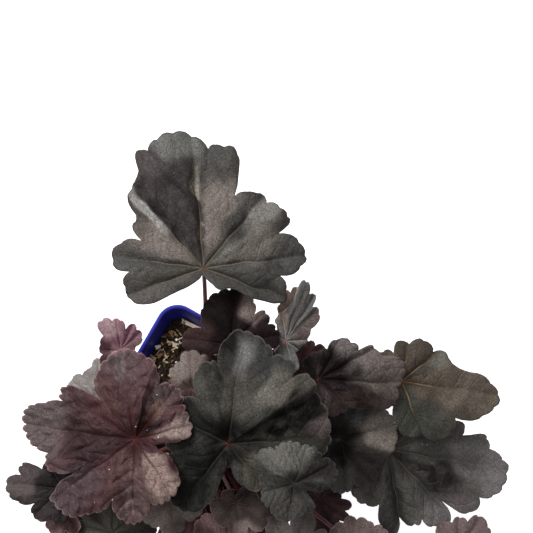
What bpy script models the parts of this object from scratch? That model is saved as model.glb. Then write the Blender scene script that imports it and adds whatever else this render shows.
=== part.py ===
"""Heuchera plant in a square nursery pot: pot, potting mix, crown, and one solid for each leaf on its stalk.

Blender 4.5, metres, +Z up. The origin is the centre of the pot's flat base, and the pot's sides run along X and Y.
The leaf list is in millimetres, in the plant's own plan, which PLANT_TURN sets against the pot.
Angles in it are degrees anticlockwise from the plan's +X.
"""

import math
import random

import bmesh
import bpy
from mathutils import Matrix, Vector, noise

MM = 0.001
GAP = 0.35  # clearance between pieces that touch, mm

# Pot, mm
POT_HEIGHT = 95.0
RIM_SIDE = 100.0
RIM_CORNER = 11.0
RIM_FACE = 2.0
RIM_DEPTH = 7.0
RIM_STEP = 0.6
BODY_SIDE = 95.4
BASE_SIDE = 70.0
BASE_CORNER = 8.0
WALL = 1.2
FLOOR = 1.6
DRAIN_RADIUS = 4.0
DRAIN_OFFSET = 22.0
DRAIN_SIDES = 12
CORNER_STEPS = 5

# Potting mix and crown, mm
SOIL_LEVEL = 83.0
SOIL_RELIEF = 1.6
SOIL_GRAIN = 0.22
SOIL_RINGS = 7
SOIL_SIDE_STEPS = 6
CROWN_RADIUS = 12.0
CROWN_CENTRE = SOIL_LEVEL + 2.0
CROWN_SINK = 12.0
CROWN_SIDES = 14
CROWN_TIERS = (0.0, 22.0, 42.0, 62.0, 78.0)
SEAT_TIERS = (14.0, 32.0, 50.0, 68.0, 88.0)  # how steeply each tier of stalks leaves the crown, degrees

# Leaves, mm and degrees
PLANT_TURN = math.radians(29.6)
BLADE = 0.8
HUB_RADIUS = 1.5
STALK_BASE = 1.6
STALK_TOP = 1.0
STALK_SIDES = 6
STALK_STEPS = 7
ARRIVAL = 50.0
STALK_START = 3.0
LEAST_LEAVE = 36.0
LEAVE_SHARE = 0.30
LOBE_ROUND = 0.72
TOOTH_WIDTH = 7.0
TOOTH_DEPTH = 1.7
TOOTH_POINTS = 3
SINUS_FADE = 16.0
DIP_WIDTH = 8.0
SHELF_RAMP = 6.0
MID_SHARE = 0.52

MIX_BROWN = (0.055, 0.035, 0.022)
POT_BLUE = (0.012, 0.025, 0.42)
CROWN_BROWN = (0.10, 0.045, 0.035)
BLADE_COLOURS = {
    "black": (0.030, 0.034, 0.032),
    "slate": (0.060, 0.062, 0.060),
    "plum": (0.095, 0.050, 0.055),
    "bronze": (0.105, 0.080, 0.060),
    "umber": (0.085, 0.068, 0.062),
    "maroon": (0.045, 0.014, 0.018),
    "pink": (0.210, 0.110, 0.130),
    "silver": (0.230, 0.230, 0.210),
}


def leaf(name, hub, colour, edge, **form):
    """One leaf. hub is where the stalk meets the blade; edge runs round it as notch, lobe tip, notch, and so on.

    Each point of edge is (angle, reach). slope is the blade's rise per mm along the plan's X and Y. pleat is how far
    the blade stands up between its main veins, dome how far its rim hangs, and wave the size of its rim's ripples.
    veins lists the angles of the main veins, or is empty where each lobe has one. dip is how far the hub lies below
    the blade round it. Each of shelves is a sector that stands higher, by start, end and height. lifts moves lobe
    tips up or down. seat is (tier, azimuth) on the crown. arrive is how steeply the stalk comes up to the hub, from
    the side that come gives, and bend is how much of its length that takes.
    """
    made = {
        "name": name,
        "hub": Vector(hub),
        "colour": colour,
        "edge": edge,
        "slope": (0.0, 0.0),
        "pleat": 2.6,
        "dome": 4.0,
        "wave": 1.0,
        "veins": (),
        "dip": 0.0,
        "lifts": {},
        "shelves": (),
        "arrive": ARRIVAL,
        "come": None,
        "bend": 0.33,
        "seat": (2, 0.0),
    }
    made.update(form)
    return made


def fan(heading, size, lobes, seed):
    """A leaf's edge by rule: lobes spread evenly about the heading, largest in front, each a little off."""
    draw = random.Random(seed)
    spread = 290.0 if lobes > 5 else 265.0
    pitch = spread / lobes
    edge = [(heading - spread / 2, size * 0.30)]
    for i in range(lobes):
        off = (i + 0.5) * pitch - spread / 2
        reach = size * (0.80 + 0.20 * math.cos(math.radians(off * 0.9)))
        edge.append((heading + off + draw.uniform(-3, 3), reach * draw.uniform(0.93, 1.05)))
        edge.append((heading + off + pitch / 2, reach * draw.uniform(0.68, 0.80)))
    edge[-1] = (heading + spread / 2, size * 0.30)
    return edge


# Each leaf that shows from above, then those of the far side by rule
LEAVES = [
    leaf("leaf_top", (1, 77, 150), "slate",
         [(-62, 9), (-46, 13.5), (-35, 19), (-19, 40), (-7, 36.5), (7, 47), (24, 38.5), (31, 46), (46, 42),
          (52, 42.5), (66, 36), (79, 57.5), (88, 55.5), (102, 64), (115, 60.5), (119, 62.5), (124, 54.5), (129, 51),
          (143, 40), (147, 37), (156, 31.5), (173, 43), (183, 34.5), (200, 37.5), (216, 25)],
         slope=(0.0, 0.10), pleat=3.6, dome=6.0, wave=1.8, dip=2.0, veins=(-20, 7, 50, 95, 133, 173, 200),
         lifts={3: 3.0, 6: 3.0}, arrive=66.0, seat=(2, 86)),
    leaf("leaf_plum", (-28.5, -1, 164.5), "plum",
         [(-8, 13), (14, 26), (36, 26), (51, 29.5), (67, 27), (98, 40), (133, 24), (146, 40), (154, 38), (170, 53),
          (189, 41), (195, 42), (208, 29), (216, 47), (250, 28), (269, 37.5), (284, 29), (305, 30), (337, 13)],
         slope=(0.12, 0.0), pleat=3.2, dome=9.0, wave=1.6, dip=4.0, shelves=((70, 130, 2.5), (282, 330, 2.5)),
         veins=(14, 52, 100, 146, 173, 216, 269, 306), seat=(3, 168)),
    leaf("leaf_centre", (13, -3, 166), "black",
         [(-82, 10), (-48, 25), (-25, 23), (8, 46.5), (31, 45), (39, 47), (46, 41), (54, 46.5), (63, 44.5),
          (84, 51), (97, 36.5), (106, 38), (123, 24), (155, 31), (188, 25), (230, 36.5), (262, 14)],
         slope=(0.16, 0.02), pleat=4.0, dome=13.0, wave=1.4, dip=4.0, shelves=((28, 136, 4.5),),
         veins=(-50, 4, 81, 153, 232), seat=(4, 0)),
    leaf("leaf_bronze", (93, 25, 138), "bronze",
         [(-112, 9), (-80, 25.5), (-70, 25), (-48, 33), (-33, 31), (-9, 47), (8, 33), (24, 25), (43, 20.5),
          (60, 23), (76, 18), (94, 18.5), (106, 14), (130, 17), (165, 9)],
         slope=(-0.12, 0.0), pleat=2.4, dome=5.0, dip=1.0, veins=(-68, -7, 40, 78, 125), bend=0.15, seat=(1, 10)),
    leaf("leaf_right", (88, -7, 118), "slate",
         [(-150, 12), (-115, 29), (-101, 27), (-86, 41), (-80, 34), (-71, 38.5), (-64, 37), (-49, 46), (-44, 38),
          (-33, 53), (-28, 51.5), (-12, 61), (0, 50.5), (5, 49.5), (11, 38), (17, 38.5), (24, 30), (45, 27),
          (75, 10)],
         slope=(-0.12, 0.06), pleat=4.2, dome=8.0, dip=2.5, veins=(-112, -80, -46, -10, 22, 50), seat=(0, 356)),
    leaf("leaf_shade", (54, 26, 147), "slate",
         [(-100, 9), (-48, 19), (-30, 27.5), (-16, 37.5), (-6, 37), (9, 40), (20, 33), (28, 30), (37, 23),
          (48, 23.5), (75, 14), (120, 12), (150, 7)],
         slope=(-0.06, 0.10), pleat=3.4, dip=3.0, veins=(-48, -3, 28, 60, 120), seat=(2, 28)),
    leaf("leaf_inner", (64, -2, 132), "slate",
         [(-125, 10), (-84, 25), (-71, 21.5), (-52, 26), (-36, 18), (14, 28), (46, 21), (66, 21.5), (88, 15),
          (125, 17), (165, 8)],
         slope=(-0.08, 0.0), pleat=3.4, dip=2.5, seat=(2, 0)),
    leaf("leaf_small", (42, -20, 175), "slate",
         [(-22, 8), (28, 19.5), (42, 16), (62, 18), (78, 17), (100, 18.5), (120, 17), (143, 20.5), (163, 15),
          (178, 15), (186, 12.5), (205, 15.5), (224, 14.5), (250, 16), (290, 12.5), (303, 14), (322, 8)],
         pleat=2.4, dome=4.0, dip=2.5, veins=(28, 70, 133, 195, 262, 303), wave=0.8, seat=(3, 335)),
    leaf("leaf_dark", (14, 42, 138), "maroon",
         [(-70, 9), (-30, 20), (-5, 19), (12, 22), (30, 20), (46, 22), (54, 18.5), (88, 27), (150, 14.5),
          (173, 23.5), (205, 11)],
         pleat=2.4, dome=4.0, dip=1.5, seat=(3, 75)),
    leaf("leaf_young", (-4, 21, 152), "bronze",
         [(-165, 4), (-115, 7), (-95, 6.5), (-60, 5.0), (-20, 3.6), (45, 6.8), (55, 9.5), (68, 17), (76, 16.5),
          (92, 18), (112, 14.5), (132, 13.5), (148, 11), (160, 11), (174, 5)],
         pleat=1.4, dome=2.5, dip=1.0, veins=(-95, 45, 92, 140), wave=0.4, seat=(3, 121), come=175.0),
    leaf("leaf_folded", (39, 44, 134), "silver",
         [(-140, 4), (-73, 15), (-50, 7), (-37, 7.2), (-15, 8.5), (0, 9.5), (25, 12.5), (46, 20.5), (51, 20),
          (56, 24.5), (62, 24), (71, 29), (80, 19), (95, 13.5), (120, 6), (150, 5), (190, 4)],
         slope=(0.24, 0.36), pleat=2.6, dome=2.0, wave=0.4, seat=(2, 55)),
    leaf("leaf_tan", (41.5, 50, 122), "bronze",
         [(-60, 6), (0, 10), (30, 10), (60, 14), (70, 16.5), (84, 20.3), (90, 18), (97, 18.8), (108, 15),
          (117, 12.5), (128, 10), (139, 9), (160, 7), (190, 6), (230, 5)],
         slope=(0.0, 0.2), pleat=1.8, dome=2.0, wave=0.5, seat=(1, 48)),
    leaf("leaf_red", (45, 30, 111), "maroon",
         [(-80, 8), (-30, 14), (-5, 12), (27, 19.5), (36, 18.5), (47, 18), (56, 16), (66, 16.5), (85, 12),
          (120, 11), (150, 9), (180, 12), (215, 8)],
         pleat=2.0, dome=2.5, wave=0.6, seat=(0, 33)),
    leaf("leaf_pink", (-39.5, 40, 126), "pink",
         [(-70, 4), (-25, 6), (10, 8), (42, 13), (50, 12.8), (61, 13.7), (74, 10.5), (95, 14.5), (104, 14.5),
          (124, 16.5), (140, 10.5), (182, 10), (195, 9), (226, 12), (250, 5)],
         slope=(0.0, 0.35), pleat=2.2, dome=1.5, wave=0.5, seat=(2, 138)),
    leaf("leaf_pale", (-52, 18, 116), "silver",
         [(-60, 8), (-20, 15), (10, 12), (50, 16), (72, 14), (87, 18.5), (100, 15), (116, 13.5), (124, 13),
          (150, 15), (170, 13), (200, 16), (240, 8)],
         slope=(0.0, -0.1), pleat=2.0, dome=3.0, wave=0.6, seat=(1, 158)),
    leaf("leaf_left", (-66.5, -25.5, 120), "umber",
         [(-60, 8), (-20, 16), (10, 14), (50, 16), (80, 12), (118, 15), (138, 14.5), (152, 23.5), (163, 22.5),
          (174, 28), (207, 15.5), (224, 19), (245, 14), (264, 16), (285, 8)],
         pleat=2.4, dome=5.0, veins=(-20, 50, 118, 174, 224, 264), seat=(1, 201)),
    leaf("leaf_left_low", (-66, -35, 112), "plum", fan(188, 16, 5, 11), pleat=1.8, dome=2.5, bend=0.15,
         seat=(0, 199)),
    leaf("leaf_left_pale", (-60, -45.5, 103), "umber",
         [(60, 6), (100, 9), (115, 8), (131, 12), (147, 11), (162, 14), (172, 11), (185, 12), (210, 9), (240, 10),
          (280, 6)],
         pleat=1.2, dome=1.5, arrive=60.0, bend=0.14, seat=(0, 217)),
    leaf("leaf_moss", (-44, -47.5, 109), "black",
         [(-40, 8), (2, 21), (16, 18), (42, 17.5), (62, 14), (90, 16), (112, 13.5), (140, 18.5), (157, 15.3),
          (168, 22), (185, 16), (205, 18), (230, 12), (265, 16), (300, 8)],
         pleat=2.2, dome=3.0, bend=0.2, seat=(1, 225)),
    leaf("leaf_grey", (-15, -27, 130), "umber",
         [(80, 7), (110, 15), (130, 12), (160, 15), (185, 13), (205, 17), (216, 15.5), (235, 18), (252, 16.5),
          (275, 19), (300, 14), (330, 17), (350, 12), (385, 14), (402, 7)],
         pleat=2.0, dome=3.0, seat=(3, 235)),
    leaf("leaf_core", (16, -30.5, 142), "plum",
         [(100, 4), (140, 8), (160, 7), (186, 12), (208, 10), (230, 13), (250, 11), (275, 15), (298, 12.5),
          (320, 17.5), (335, 16), (352, 16.5), (372, 11), (400, 10), (440, 4)],
         pleat=1.6, dome=3.0, wave=0.6, seat=(3, 290)),
    leaf("leaf_rose", (13, -49, 134), "pink", fan(98, 20, 5, 15), pleat=1.8, dome=2.0, wave=0.6, seat=(2, 278)),
    leaf("leaf_rust", (-6, -50, 118), "plum", fan(80, 18, 5, 20), pleat=1.4, dome=2.0, wave=0.5, seat=(1, 272)),
    leaf("leaf_deep", (37, -24, 122), "maroon", fan(352, 15, 7, 16), pleat=2.0, dome=4.0, wave=0.8, seat=(2, 305)),
    leaf("leaf_ember", (54.5, -31.5, 113), "maroon",
         [(-172, 5), (-145, 11.5), (-118, 12), (-62, 17), (-42, 14.5), (-29, 17), (-20, 14.5), (-8, 16.5), (6, 12),
          (22, 12), (35, 10), (60, 12), (110, 9), (140, 10), (172, 5)],
         pleat=1.6, dome=2.0, wave=0.5, seat=(1, 338)),
    leaf("leaf_mauve", (71, -51, 130), "plum",
         [(-100, 7), (-50, 15), (-20, 14), (15, 16.5), (45, 13), (70, 13.2), (85, 12.3), (101, 13.5), (116, 12),
          (132, 13), (160, 12), (190, 15), (220, 7)],
         pleat=1.8, dome=2.5, bend=0.18, seat=(2, 331)),
    leaf("leaf_far_mauve", (120, -53, 122), "plum",
         [(-120, 8), (-80, 17), (-50, 15), (-10, 19), (20, 15.5), (50, 18.6), (67, 13.8), (84, 14.3), (100, 12.5),
          (126, 13.8), (150, 11), (175, 13), (205, 7)],
         pleat=1.8, dome=3.0, come=200, bend=0.45, seat=(0, 337)),
    leaf("leaf_blue", (54, 5.5, 108), "slate", fan(335, 20, 5, 17), pleat=1.6, dome=2.0, wave=0.5, seat=(0, 14)),
    leaf("leaf_under_mid", (20, 14, 132), "maroon", fan(40, 15, 5, 19), pleat=1.6, dome=2.5, seat=(3, 25)),
    leaf("leaf_nook", (25, -14, 134), "maroon", fan(295, 13, 5, 29), pleat=1.6, dome=2.5, seat=(1, 291.5)),
    leaf("leaf_back_1", (-64, -84, 108), "plum", fan(228, 34, 7, 21), pleat=3.0, dome=5.0, bend=0.15, seat=(0, 236)),
    leaf("leaf_back_2", (-24, -90, 122), "black", fan(253, 38, 7, 22), pleat=3.2, dome=8.0, seat=(1, 250)),
    leaf("leaf_back_3", (20, -104, 112), "slate", fan(276, 32, 7, 23), pleat=3.0, dome=8.0, bend=0.2, seat=(0, 280)),
    leaf("leaf_back_4", (60, -92, 122), "plum", fan(302, 30, 7, 24), pleat=3.0, dome=7.0, seat=(0, 299)),
    leaf("leaf_back_5", (98, -86, 116), "black", fan(318, 26, 7, 25), pleat=2.6, dome=6.0, bend=0.2, seat=(0, 318)),
    leaf("leaf_back_6", (-30, -68, 148), "slate", fan(240, 28, 7, 26), pleat=2.8, dome=6.0, seat=(2, 246)),
    leaf("leaf_back_7", (42, -56, 146), "umber", fan(75, 22, 7, 27), pleat=2.4, dome=5.0, seat=(1, 312)),
]


def in_plan(degrees, length):
    angle = math.radians(degrees)
    return Vector((math.cos(angle) * length, math.sin(angle) * length, 0.0))


def sinus_angle(item):
    """The middle of the gap in the edge where the stalk leaves."""
    return (item["edge"][0][0] + item["edge"][-1][0] - 360.0) / 2


def smooth_reach(item, degrees):
    """The edge's reach in a direction, without its teeth, and how far that is from the nearest vein, 0 to 1."""
    edge = item["edge"]
    if degrees < edge[0][0]:
        degrees += 360.0
    if degrees > edge[-1][0]:
        off = min(degrees - edge[-1][0], edge[0][0] + 360.0 - degrees)
        near = edge[-1] if degrees - edge[-1][0] < edge[0][0] + 360.0 - degrees else edge[0]
        least = HUB_RADIUS * 1.8
        return least + max(0.0, near[1] - least) * math.exp(-off / SINUS_FADE), 1.0
    for i in range(len(edge) - 1):
        (a0, r0), (a1, r1) = edge[i], edge[i + 1]
        if degrees <= a1:
            break
    to_tip = i % 2 == 0
    across = (degrees - a0) / (a1 - a0)
    rise = across if to_tip else 1.0 - across
    notch, tip = (r0, r1) if to_tip else (r1, r0)
    return notch + (tip - notch) * math.sin(math.pi / 2 * rise) ** LOBE_ROUND, 1.0 - rise


def fold(item, degrees):
    """How far a direction is from the nearest main vein, 0 on it to 1 halfway to the next, and that vein's angle."""
    edge = item["edge"]
    if degrees < edge[0][0]:
        degrees += 360.0
    veins = list(item["veins"]) or [point[0] for point in edge[1::2]]
    if degrees <= veins[0]:
        return (veins[0] - degrees) / (veins[0] - edge[0][0]), veins[0]
    if degrees >= veins[-1]:
        return min(1.0, (degrees - veins[-1]) / (edge[-1][0] - veins[-1])), veins[-1]
    for a, b in zip(veins, veins[1:]):
        if degrees <= b:
            break
    share = 2.0 * (degrees - a) / (b - a)
    return (share, a) if share <= 1.0 else (2.0 - share, b)


def shelf_rise(item, degrees):
    """How much higher the blade stands in a direction where its lobes overlap."""
    edge = item["edge"]
    turned = degrees + 360.0 if degrees < edge[0][0] else degrees
    total = 0.0
    for start, end, height in item["shelves"]:
        inside = min(turned - start, end - turned) / SHELF_RAMP
        total += height * min(1.0, max(0.0, inside))
    return total


def hub_point(item):
    """Where the stalk meets the blade, at the bottom of the dip."""
    return item["hub"] - Vector((0.0, 0.0, item["dip"]))


def rim_points(item, per_tooth):
    """The toothed edge as (angle, reach), anticlockwise from the sinus."""
    edge = item["edge"]
    points = [(sinus_angle(item), smooth_reach(item, sinus_angle(item))[0])]
    for i in range(1, len(edge), 2):
        start, tip, end = edge[i - 1], edge[i], edge[i + 1]
        arc = math.radians(end[0] - start[0]) * tip[1]
        teeth = max(1, round(arc / TOOTH_WIDTH))
        for k in range(teeth * per_tooth):
            share = k / (teeth * per_tooth)
            degrees = start[0] + (end[0] - start[0]) * share
            scallop = math.sin(math.pi * ((share * teeth) % 1.0)) ** 0.6
            depth = min(TOOTH_DEPTH, tip[1] * 0.06)
            points.append((degrees, smooth_reach(item, degrees)[0] + depth * (scallop - 0.5)))
    points.append(edge[-1])
    return points


def lobe_lift(item, degrees, between):
    """How far a lobe's own tip is lifted in a direction."""
    edge = item["edge"]
    turned = degrees + 360.0 if degrees < edge[0][0] else degrees
    for i in range(1, len(edge), 2):
        if edge[i - 1][0] <= turned <= edge[i + 1][0]:
            return item["lifts"].get(i // 2, 0.0) * (1.0 - between)
    return 0.0


def blade_point(item, degrees, share, reach):
    """A point of the blade's middle surface, in the plan, share of the way from the hub's ring to the edge."""
    _, between = smooth_reach(item, degrees)
    crest, _ = fold(item, degrees)
    length = HUB_RADIUS + (reach - HUB_RADIUS) * share
    span = max(point[1] for point in item["edge"])
    out = length / span
    at = in_plan(degrees, length)
    rise = at.x * item["slope"][0] + at.y * item["slope"][1]
    rise -= item["dome"] * out * out
    rise += item["pleat"] * math.sin(math.pi / 2 * crest) ** 0.8 * math.sin(math.pi / 2 * min(1.0, out / 0.75))
    rise += shelf_rise(item, degrees) * math.sin(math.pi / 2 * min(1.0, out / 0.5))
    rise -= item["dip"] * math.exp(-((length / DIP_WIDTH) ** 2))
    rise += lobe_lift(item, degrees, between) * share * share
    seed = noise.noise(item["hub"]) * 40.0
    ripple = noise.noise(in_plan(degrees, 2.2) + Vector((seed, 0.0, 0.0)))
    rise += item["wave"] * 2.2 * ripple * out * out
    at.z = rise
    return item["hub"] + at


def zip_rings(inner, outer):
    """Triangles between two rings of (angle, index), each starting at the sinus and going anticlockwise."""
    made = []
    i = j = 0
    while i < len(inner) or j < len(outer):
        here, there = inner[i % len(inner)], outer[j % len(outer)]
        next_inner = inner[(i + 1) % len(inner)][0] + (360.0 if i + 1 >= len(inner) else 0.0)
        next_outer = outer[(j + 1) % len(outer)][0] + (360.0 if j + 1 >= len(outer) else 0.0)
        if j < len(outer) and (i >= len(inner) or next_outer <= next_inner):
            made.append((here[1], there[1], outer[(j + 1) % len(outer)][1]))
            j += 1
        else:
            made.append((here[1], there[1], inner[(i + 1) % len(inner)][1]))
            i += 1
    return made


def bezier(points, share):
    a, b, c, d = points
    rest = 1.0 - share
    return a * rest**3 + b * (3 * rest * rest * share) + c * (3 * rest * share * share) + d * share**3


def stalk_curve(item):
    """Control points of the stalk, from the hub down to its seat on the crown."""
    hub = hub_point(item)
    tier, azimuth = item["seat"]
    climb = math.radians(SEAT_TIERS[tier])
    steepest = max(climb, math.radians(LEAST_LEAVE))
    tilt_room = STALK_BASE * math.sin(steepest - climb)
    out = in_plan(azimuth, math.cos(climb)) + Vector((0.0, 0.0, math.sin(climb)))
    leave = in_plan(azimuth, math.cos(steepest)) + Vector((0.0, 0.0, math.sin(steepest)))
    seat = Vector((0.0, 0.0, CROWN_CENTRE)) + out * (CROWN_RADIUS + GAP + tilt_room)
    flat = hub - seat
    come = item["come"]
    side = math.degrees(math.atan2(flat.y, flat.x)) if come is None else come + 180.0
    steep = math.radians(item["arrive"])
    arrive = in_plan(side, math.cos(steep)) + Vector((0.0, 0.0, math.sin(steep)))
    length = flat.length
    return [hub, hub - arrive * length * item["bend"], seat + leave * length * LEAVE_SHARE, seat]


def stalk_rings(item):
    """Rings of points down the stalk, each with its angle round the stalk."""
    curve = stalk_curve(item)
    size = min(1.0, 0.75 + 0.25 * max(point[1] for point in item["edge"]) / 40.0)
    length = (curve[0] - curve[3]).length
    start = STALK_START / length
    rings = []
    first = None
    for k in range(STALK_STEPS + 1):
        share = start + (1.0 - start) * k / STALK_STEPS
        centre = bezier(curve, share)
        ahead = bezier(curve, min(1.0, share + 0.01)) - bezier(curve, max(0.0, share - 0.01))
        along = ahead.normalized()
        if first is None:
            side = along.cross(Vector((0.0, 0.0, 1.0))).normalized()
            first = side
        side = (first - along * first.dot(along)).normalized()
        first = side
        up = side.cross(along)
        radius = size * (STALK_TOP + (STALK_BASE - STALK_TOP) * share**2)
        ring = []
        for s in range(STALK_SIDES):
            turn = 2 * math.pi * s / STALK_SIDES
            ring.append(centre + side * math.cos(turn) * radius + up * math.sin(turn) * radius)
        rings.append(ring)
    return rings


def leaf_mesh(item):
    """One closed solid: the blade, alike on both faces, with the stalk growing from the ring under its hub."""
    sinus = sinus_angle(item)
    edge = item["edge"]
    veins = [edge[i][0] for i in range(1, len(edge), 2)]
    between = [point[0] for point in edge]
    rings = [
        [(degrees, HUB_RADIUS, 0.0) for degrees in [sinus] + veins],
        [(degrees, smooth_reach(item, degrees)[0], MID_SHARE) for degrees in [sinus] + between],
        [(degrees, reach, 1.0) for degrees, reach in rim_points(item, TOOTH_POINTS)],
    ]
    points = [hub_point(item)]
    faces = []
    indexed = []
    for ring in rings:
        row = []
        for degrees, reach, share in ring:
            row.append((degrees, len(points)))
            points.append(blade_point(item, degrees, share, reach))
        indexed.append(row)
    hub_ring = [index for _, index in indexed[0]]
    for k in range(len(hub_ring)):
        faces.append((0, hub_ring[k], hub_ring[(k + 1) % len(hub_ring)]))
    hub_faces = len(faces)
    for inner, outer in zip(indexed, indexed[1:]):
        faces += zip_rings(inner, outer)

    normals = [Vector() for _ in points]
    for a, b, c in faces:
        lean = (points[b] - points[a]).cross(points[c] - points[a])
        for index in (a, b, c):
            normals[index] += lean
    half = BLADE / 2
    bm = bmesh.new()
    top = [bm.verts.new(p + n.normalized() * half) for p, n in zip(points, normals)]
    low = [bm.verts.new(p - n.normalized() * half) for p, n in zip(points, normals)]
    for a, b, c in faces:
        bm.faces.new((top[a], top[b], top[c]))
    for a, b, c in faces[hub_faces:]:
        bm.faces.new((low[a], low[c], low[b]))
    rim = [index for _, index in indexed[-1]]
    for k in range(len(rim)):
        a, b = rim[k], rim[(k + 1) % len(rim)]
        bm.faces.new((top[a], low[a], low[b]))
        bm.faces.new((top[a], low[b], top[b]))

    tube = [[bm.verts.new(p) for p in ring] for ring in stalk_rings(item)]
    centre = sum((v.co for v in tube[0]), Vector()) / STALK_SIDES
    collar = []
    for v in tube[0]:
        off = v.co - centre
        degrees = math.degrees(math.atan2(off.y, off.x))
        while degrees < sinus:
            degrees += 360.0
        while degrees >= sinus + 360.0:
            degrees -= 360.0
        collar.append((degrees, v))
    collar.sort(key=lambda pair: pair[0])
    base_ring = [(degrees, low[index]) for degrees, index in indexed[0]]
    for a, b, c in zip_rings(collar, base_ring):
        bm.faces.new((a, c, b))
    for upper, lower in zip(tube, tube[1:]):
        for s in range(STALK_SIDES):
            e = (s + 1) % STALK_SIDES
            bm.faces.new((upper[s], upper[e], lower[e]))
            bm.faces.new((upper[s], lower[e], lower[s]))
    bm.faces.new(tube[-1])
    bmesh.ops.triangulate(bm, faces=[f for f in bm.faces if len(f.verts) > 3])
    bmesh.ops.remove_doubles(bm, verts=[low[0]], dist=0.0)
    bmesh.ops.delete(bm, geom=[v for v in bm.verts if not v.link_faces], context="VERTS")
    return bm


def rounded_square(half, corner, height, side_steps=1):
    """A ring of points round a square with rounded corners, anticlockwise."""
    ring = []
    for quarter in range(4):
        middle = 45.0 + 90.0 * quarter
        centre = in_plan(middle, (half - corner) * math.sqrt(2.0))
        ahead = in_plan(middle + 90.0, (half - corner) * math.sqrt(2.0))
        for k in range(CORNER_STEPS + 1):
            at = centre + in_plan(middle - 45.0 + 90.0 * k / CORNER_STEPS, corner)
            ring.append(Vector((at.x, at.y, height)))
        for k in range(1, side_steps):
            at = centre.lerp(ahead, k / side_steps) + in_plan(middle + 45.0, corner)
            ring.append(Vector((at.x, at.y, height)))
    return ring


def bridge(bm, rings):
    """Walls between neighbouring rings of vertices, all with the same number of points."""
    for lower, upper in zip(rings, rings[1:]):
        for k in range(len(lower)):
            e = (k + 1) % len(lower)
            bm.faces.new((lower[k], lower[e], upper[e], upper[k]))


def body_half(height):
    return (BASE_SIDE + (BODY_SIDE - BASE_SIDE) * height / POT_HEIGHT) / 2


def body_corner(height):
    return BASE_CORNER + (RIM_CORNER - 2.0 - BASE_CORNER) * height / POT_HEIGHT


def pot_mesh():
    """A tapered square pot with a turned-out rim band, open at the top."""
    under = POT_HEIGHT - RIM_DEPTH
    rim_half = RIM_SIDE / 2
    inside = rim_half - RIM_FACE
    profile = [
        (body_half(0) - RIM_STEP, body_corner(0), 0.0),
        (body_half(0), body_corner(0), 1.0),
        (body_half(under), body_corner(under), under),
        (rim_half - RIM_STEP, RIM_CORNER, under),
        (rim_half, RIM_CORNER, under + RIM_STEP),
        (rim_half, RIM_CORNER, POT_HEIGHT - RIM_STEP),
        (rim_half - RIM_STEP, RIM_CORNER - RIM_STEP, POT_HEIGHT),
        (inside + 0.4, RIM_CORNER - RIM_FACE, POT_HEIGHT),
        (inside, RIM_CORNER - RIM_FACE, POT_HEIGHT - 0.5),
        (body_half(under) - WALL, body_corner(under) - WALL, under),
        (body_half(FLOOR) - WALL, body_corner(FLOOR) - WALL, FLOOR),
    ]
    bm = bmesh.new()
    rings = [[bm.verts.new(p) for p in rounded_square(*row)] for row in profile]
    bridge(bm, rings)
    bm.faces.new(list(reversed(rings[0])))
    bm.faces.new(rings[-1])
    return bm


def drain_cutter():
    bm = bmesh.new()
    for quarter in range(4):
        at = in_plan(45.0 + 90.0 * quarter, DRAIN_OFFSET * math.sqrt(2.0))
        at.z = FLOOR / 2
        bmesh.ops.create_cone(bm, cap_ends=True, segments=DRAIN_SIDES, radius1=DRAIN_RADIUS, radius2=DRAIN_RADIUS,
                              depth=FLOOR * 4, matrix=Matrix.Translation(at))
    return bm


def soil_mesh():
    """Potting mix that fills the pot, lumpy on top, with a plain hole for the crown."""
    bottom = FLOOR + GAP
    bm = bmesh.new()

    def wall_ring(height):
        inset = WALL + GAP
        return rounded_square(body_half(height) - inset, body_corner(height) - inset, height, SOIL_SIDE_STEPS)

    outer = wall_ring(SOIL_LEVEL)
    hole = [in_plan(math.degrees(math.atan2(p.y, p.x)), CROWN_RADIUS + GAP) for p in outer]
    rings = [wall_ring(bottom), outer]
    for k in range(1, SOIL_RINGS + 1):
        share = k / SOIL_RINGS
        ring = []
        for rim_point, inner in zip(outer, hole):
            at = rim_point.lerp(inner, share)
            lump = noise.cell(at * SOIL_GRAIN) - 0.5 + noise.noise(at * 0.35)
            at.z = SOIL_LEVEL + (SOIL_RELIEF * lump if k < SOIL_RINGS else 0.0)
            ring.append(at)
        rings.append(ring)
    rings.append([Vector((p.x, p.y, SOIL_LEVEL - CROWN_SINK - GAP)) for p in hole])
    made = [[bm.verts.new(p) for p in ring] for ring in rings]
    bridge(bm, made)
    bm.faces.new(list(reversed(made[0])))
    bm.faces.new(made[-1])
    return bm


def crown_mesh():
    """The short woody crown that the stalks grow from: a stub in the mix with a round head."""
    bm = bmesh.new()
    rings = []
    heights = [(CROWN_RADIUS, SOIL_LEVEL - CROWN_SINK)]
    for climb in CROWN_TIERS:
        angle = math.radians(climb)
        heights.append((CROWN_RADIUS * math.cos(angle), CROWN_CENTRE + CROWN_RADIUS * math.sin(angle)))
    for radius, height in heights:
        ring = []
        for k in range(CROWN_SIDES):
            at = in_plan(360.0 * k / CROWN_SIDES, radius)
            at.z = height
            ring.append(bm.verts.new(at))
        rings.append(ring)
    bridge(bm, rings)
    bm.faces.new(list(reversed(rings[0])))
    bm.faces.new(rings[-1])
    return bm


def material(name, colour, roughness):
    made = bpy.data.materials.new(name)
    made.use_nodes = True
    shader = made.node_tree.nodes["Principled BSDF"]
    shader.inputs["Base Color"].default_value = (*colour, 1.0)
    shader.inputs["Roughness"].default_value = roughness
    shader.inputs["Metallic"].default_value = 0.0
    made.diffuse_color = (*colour, 1.0)
    return made


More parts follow.
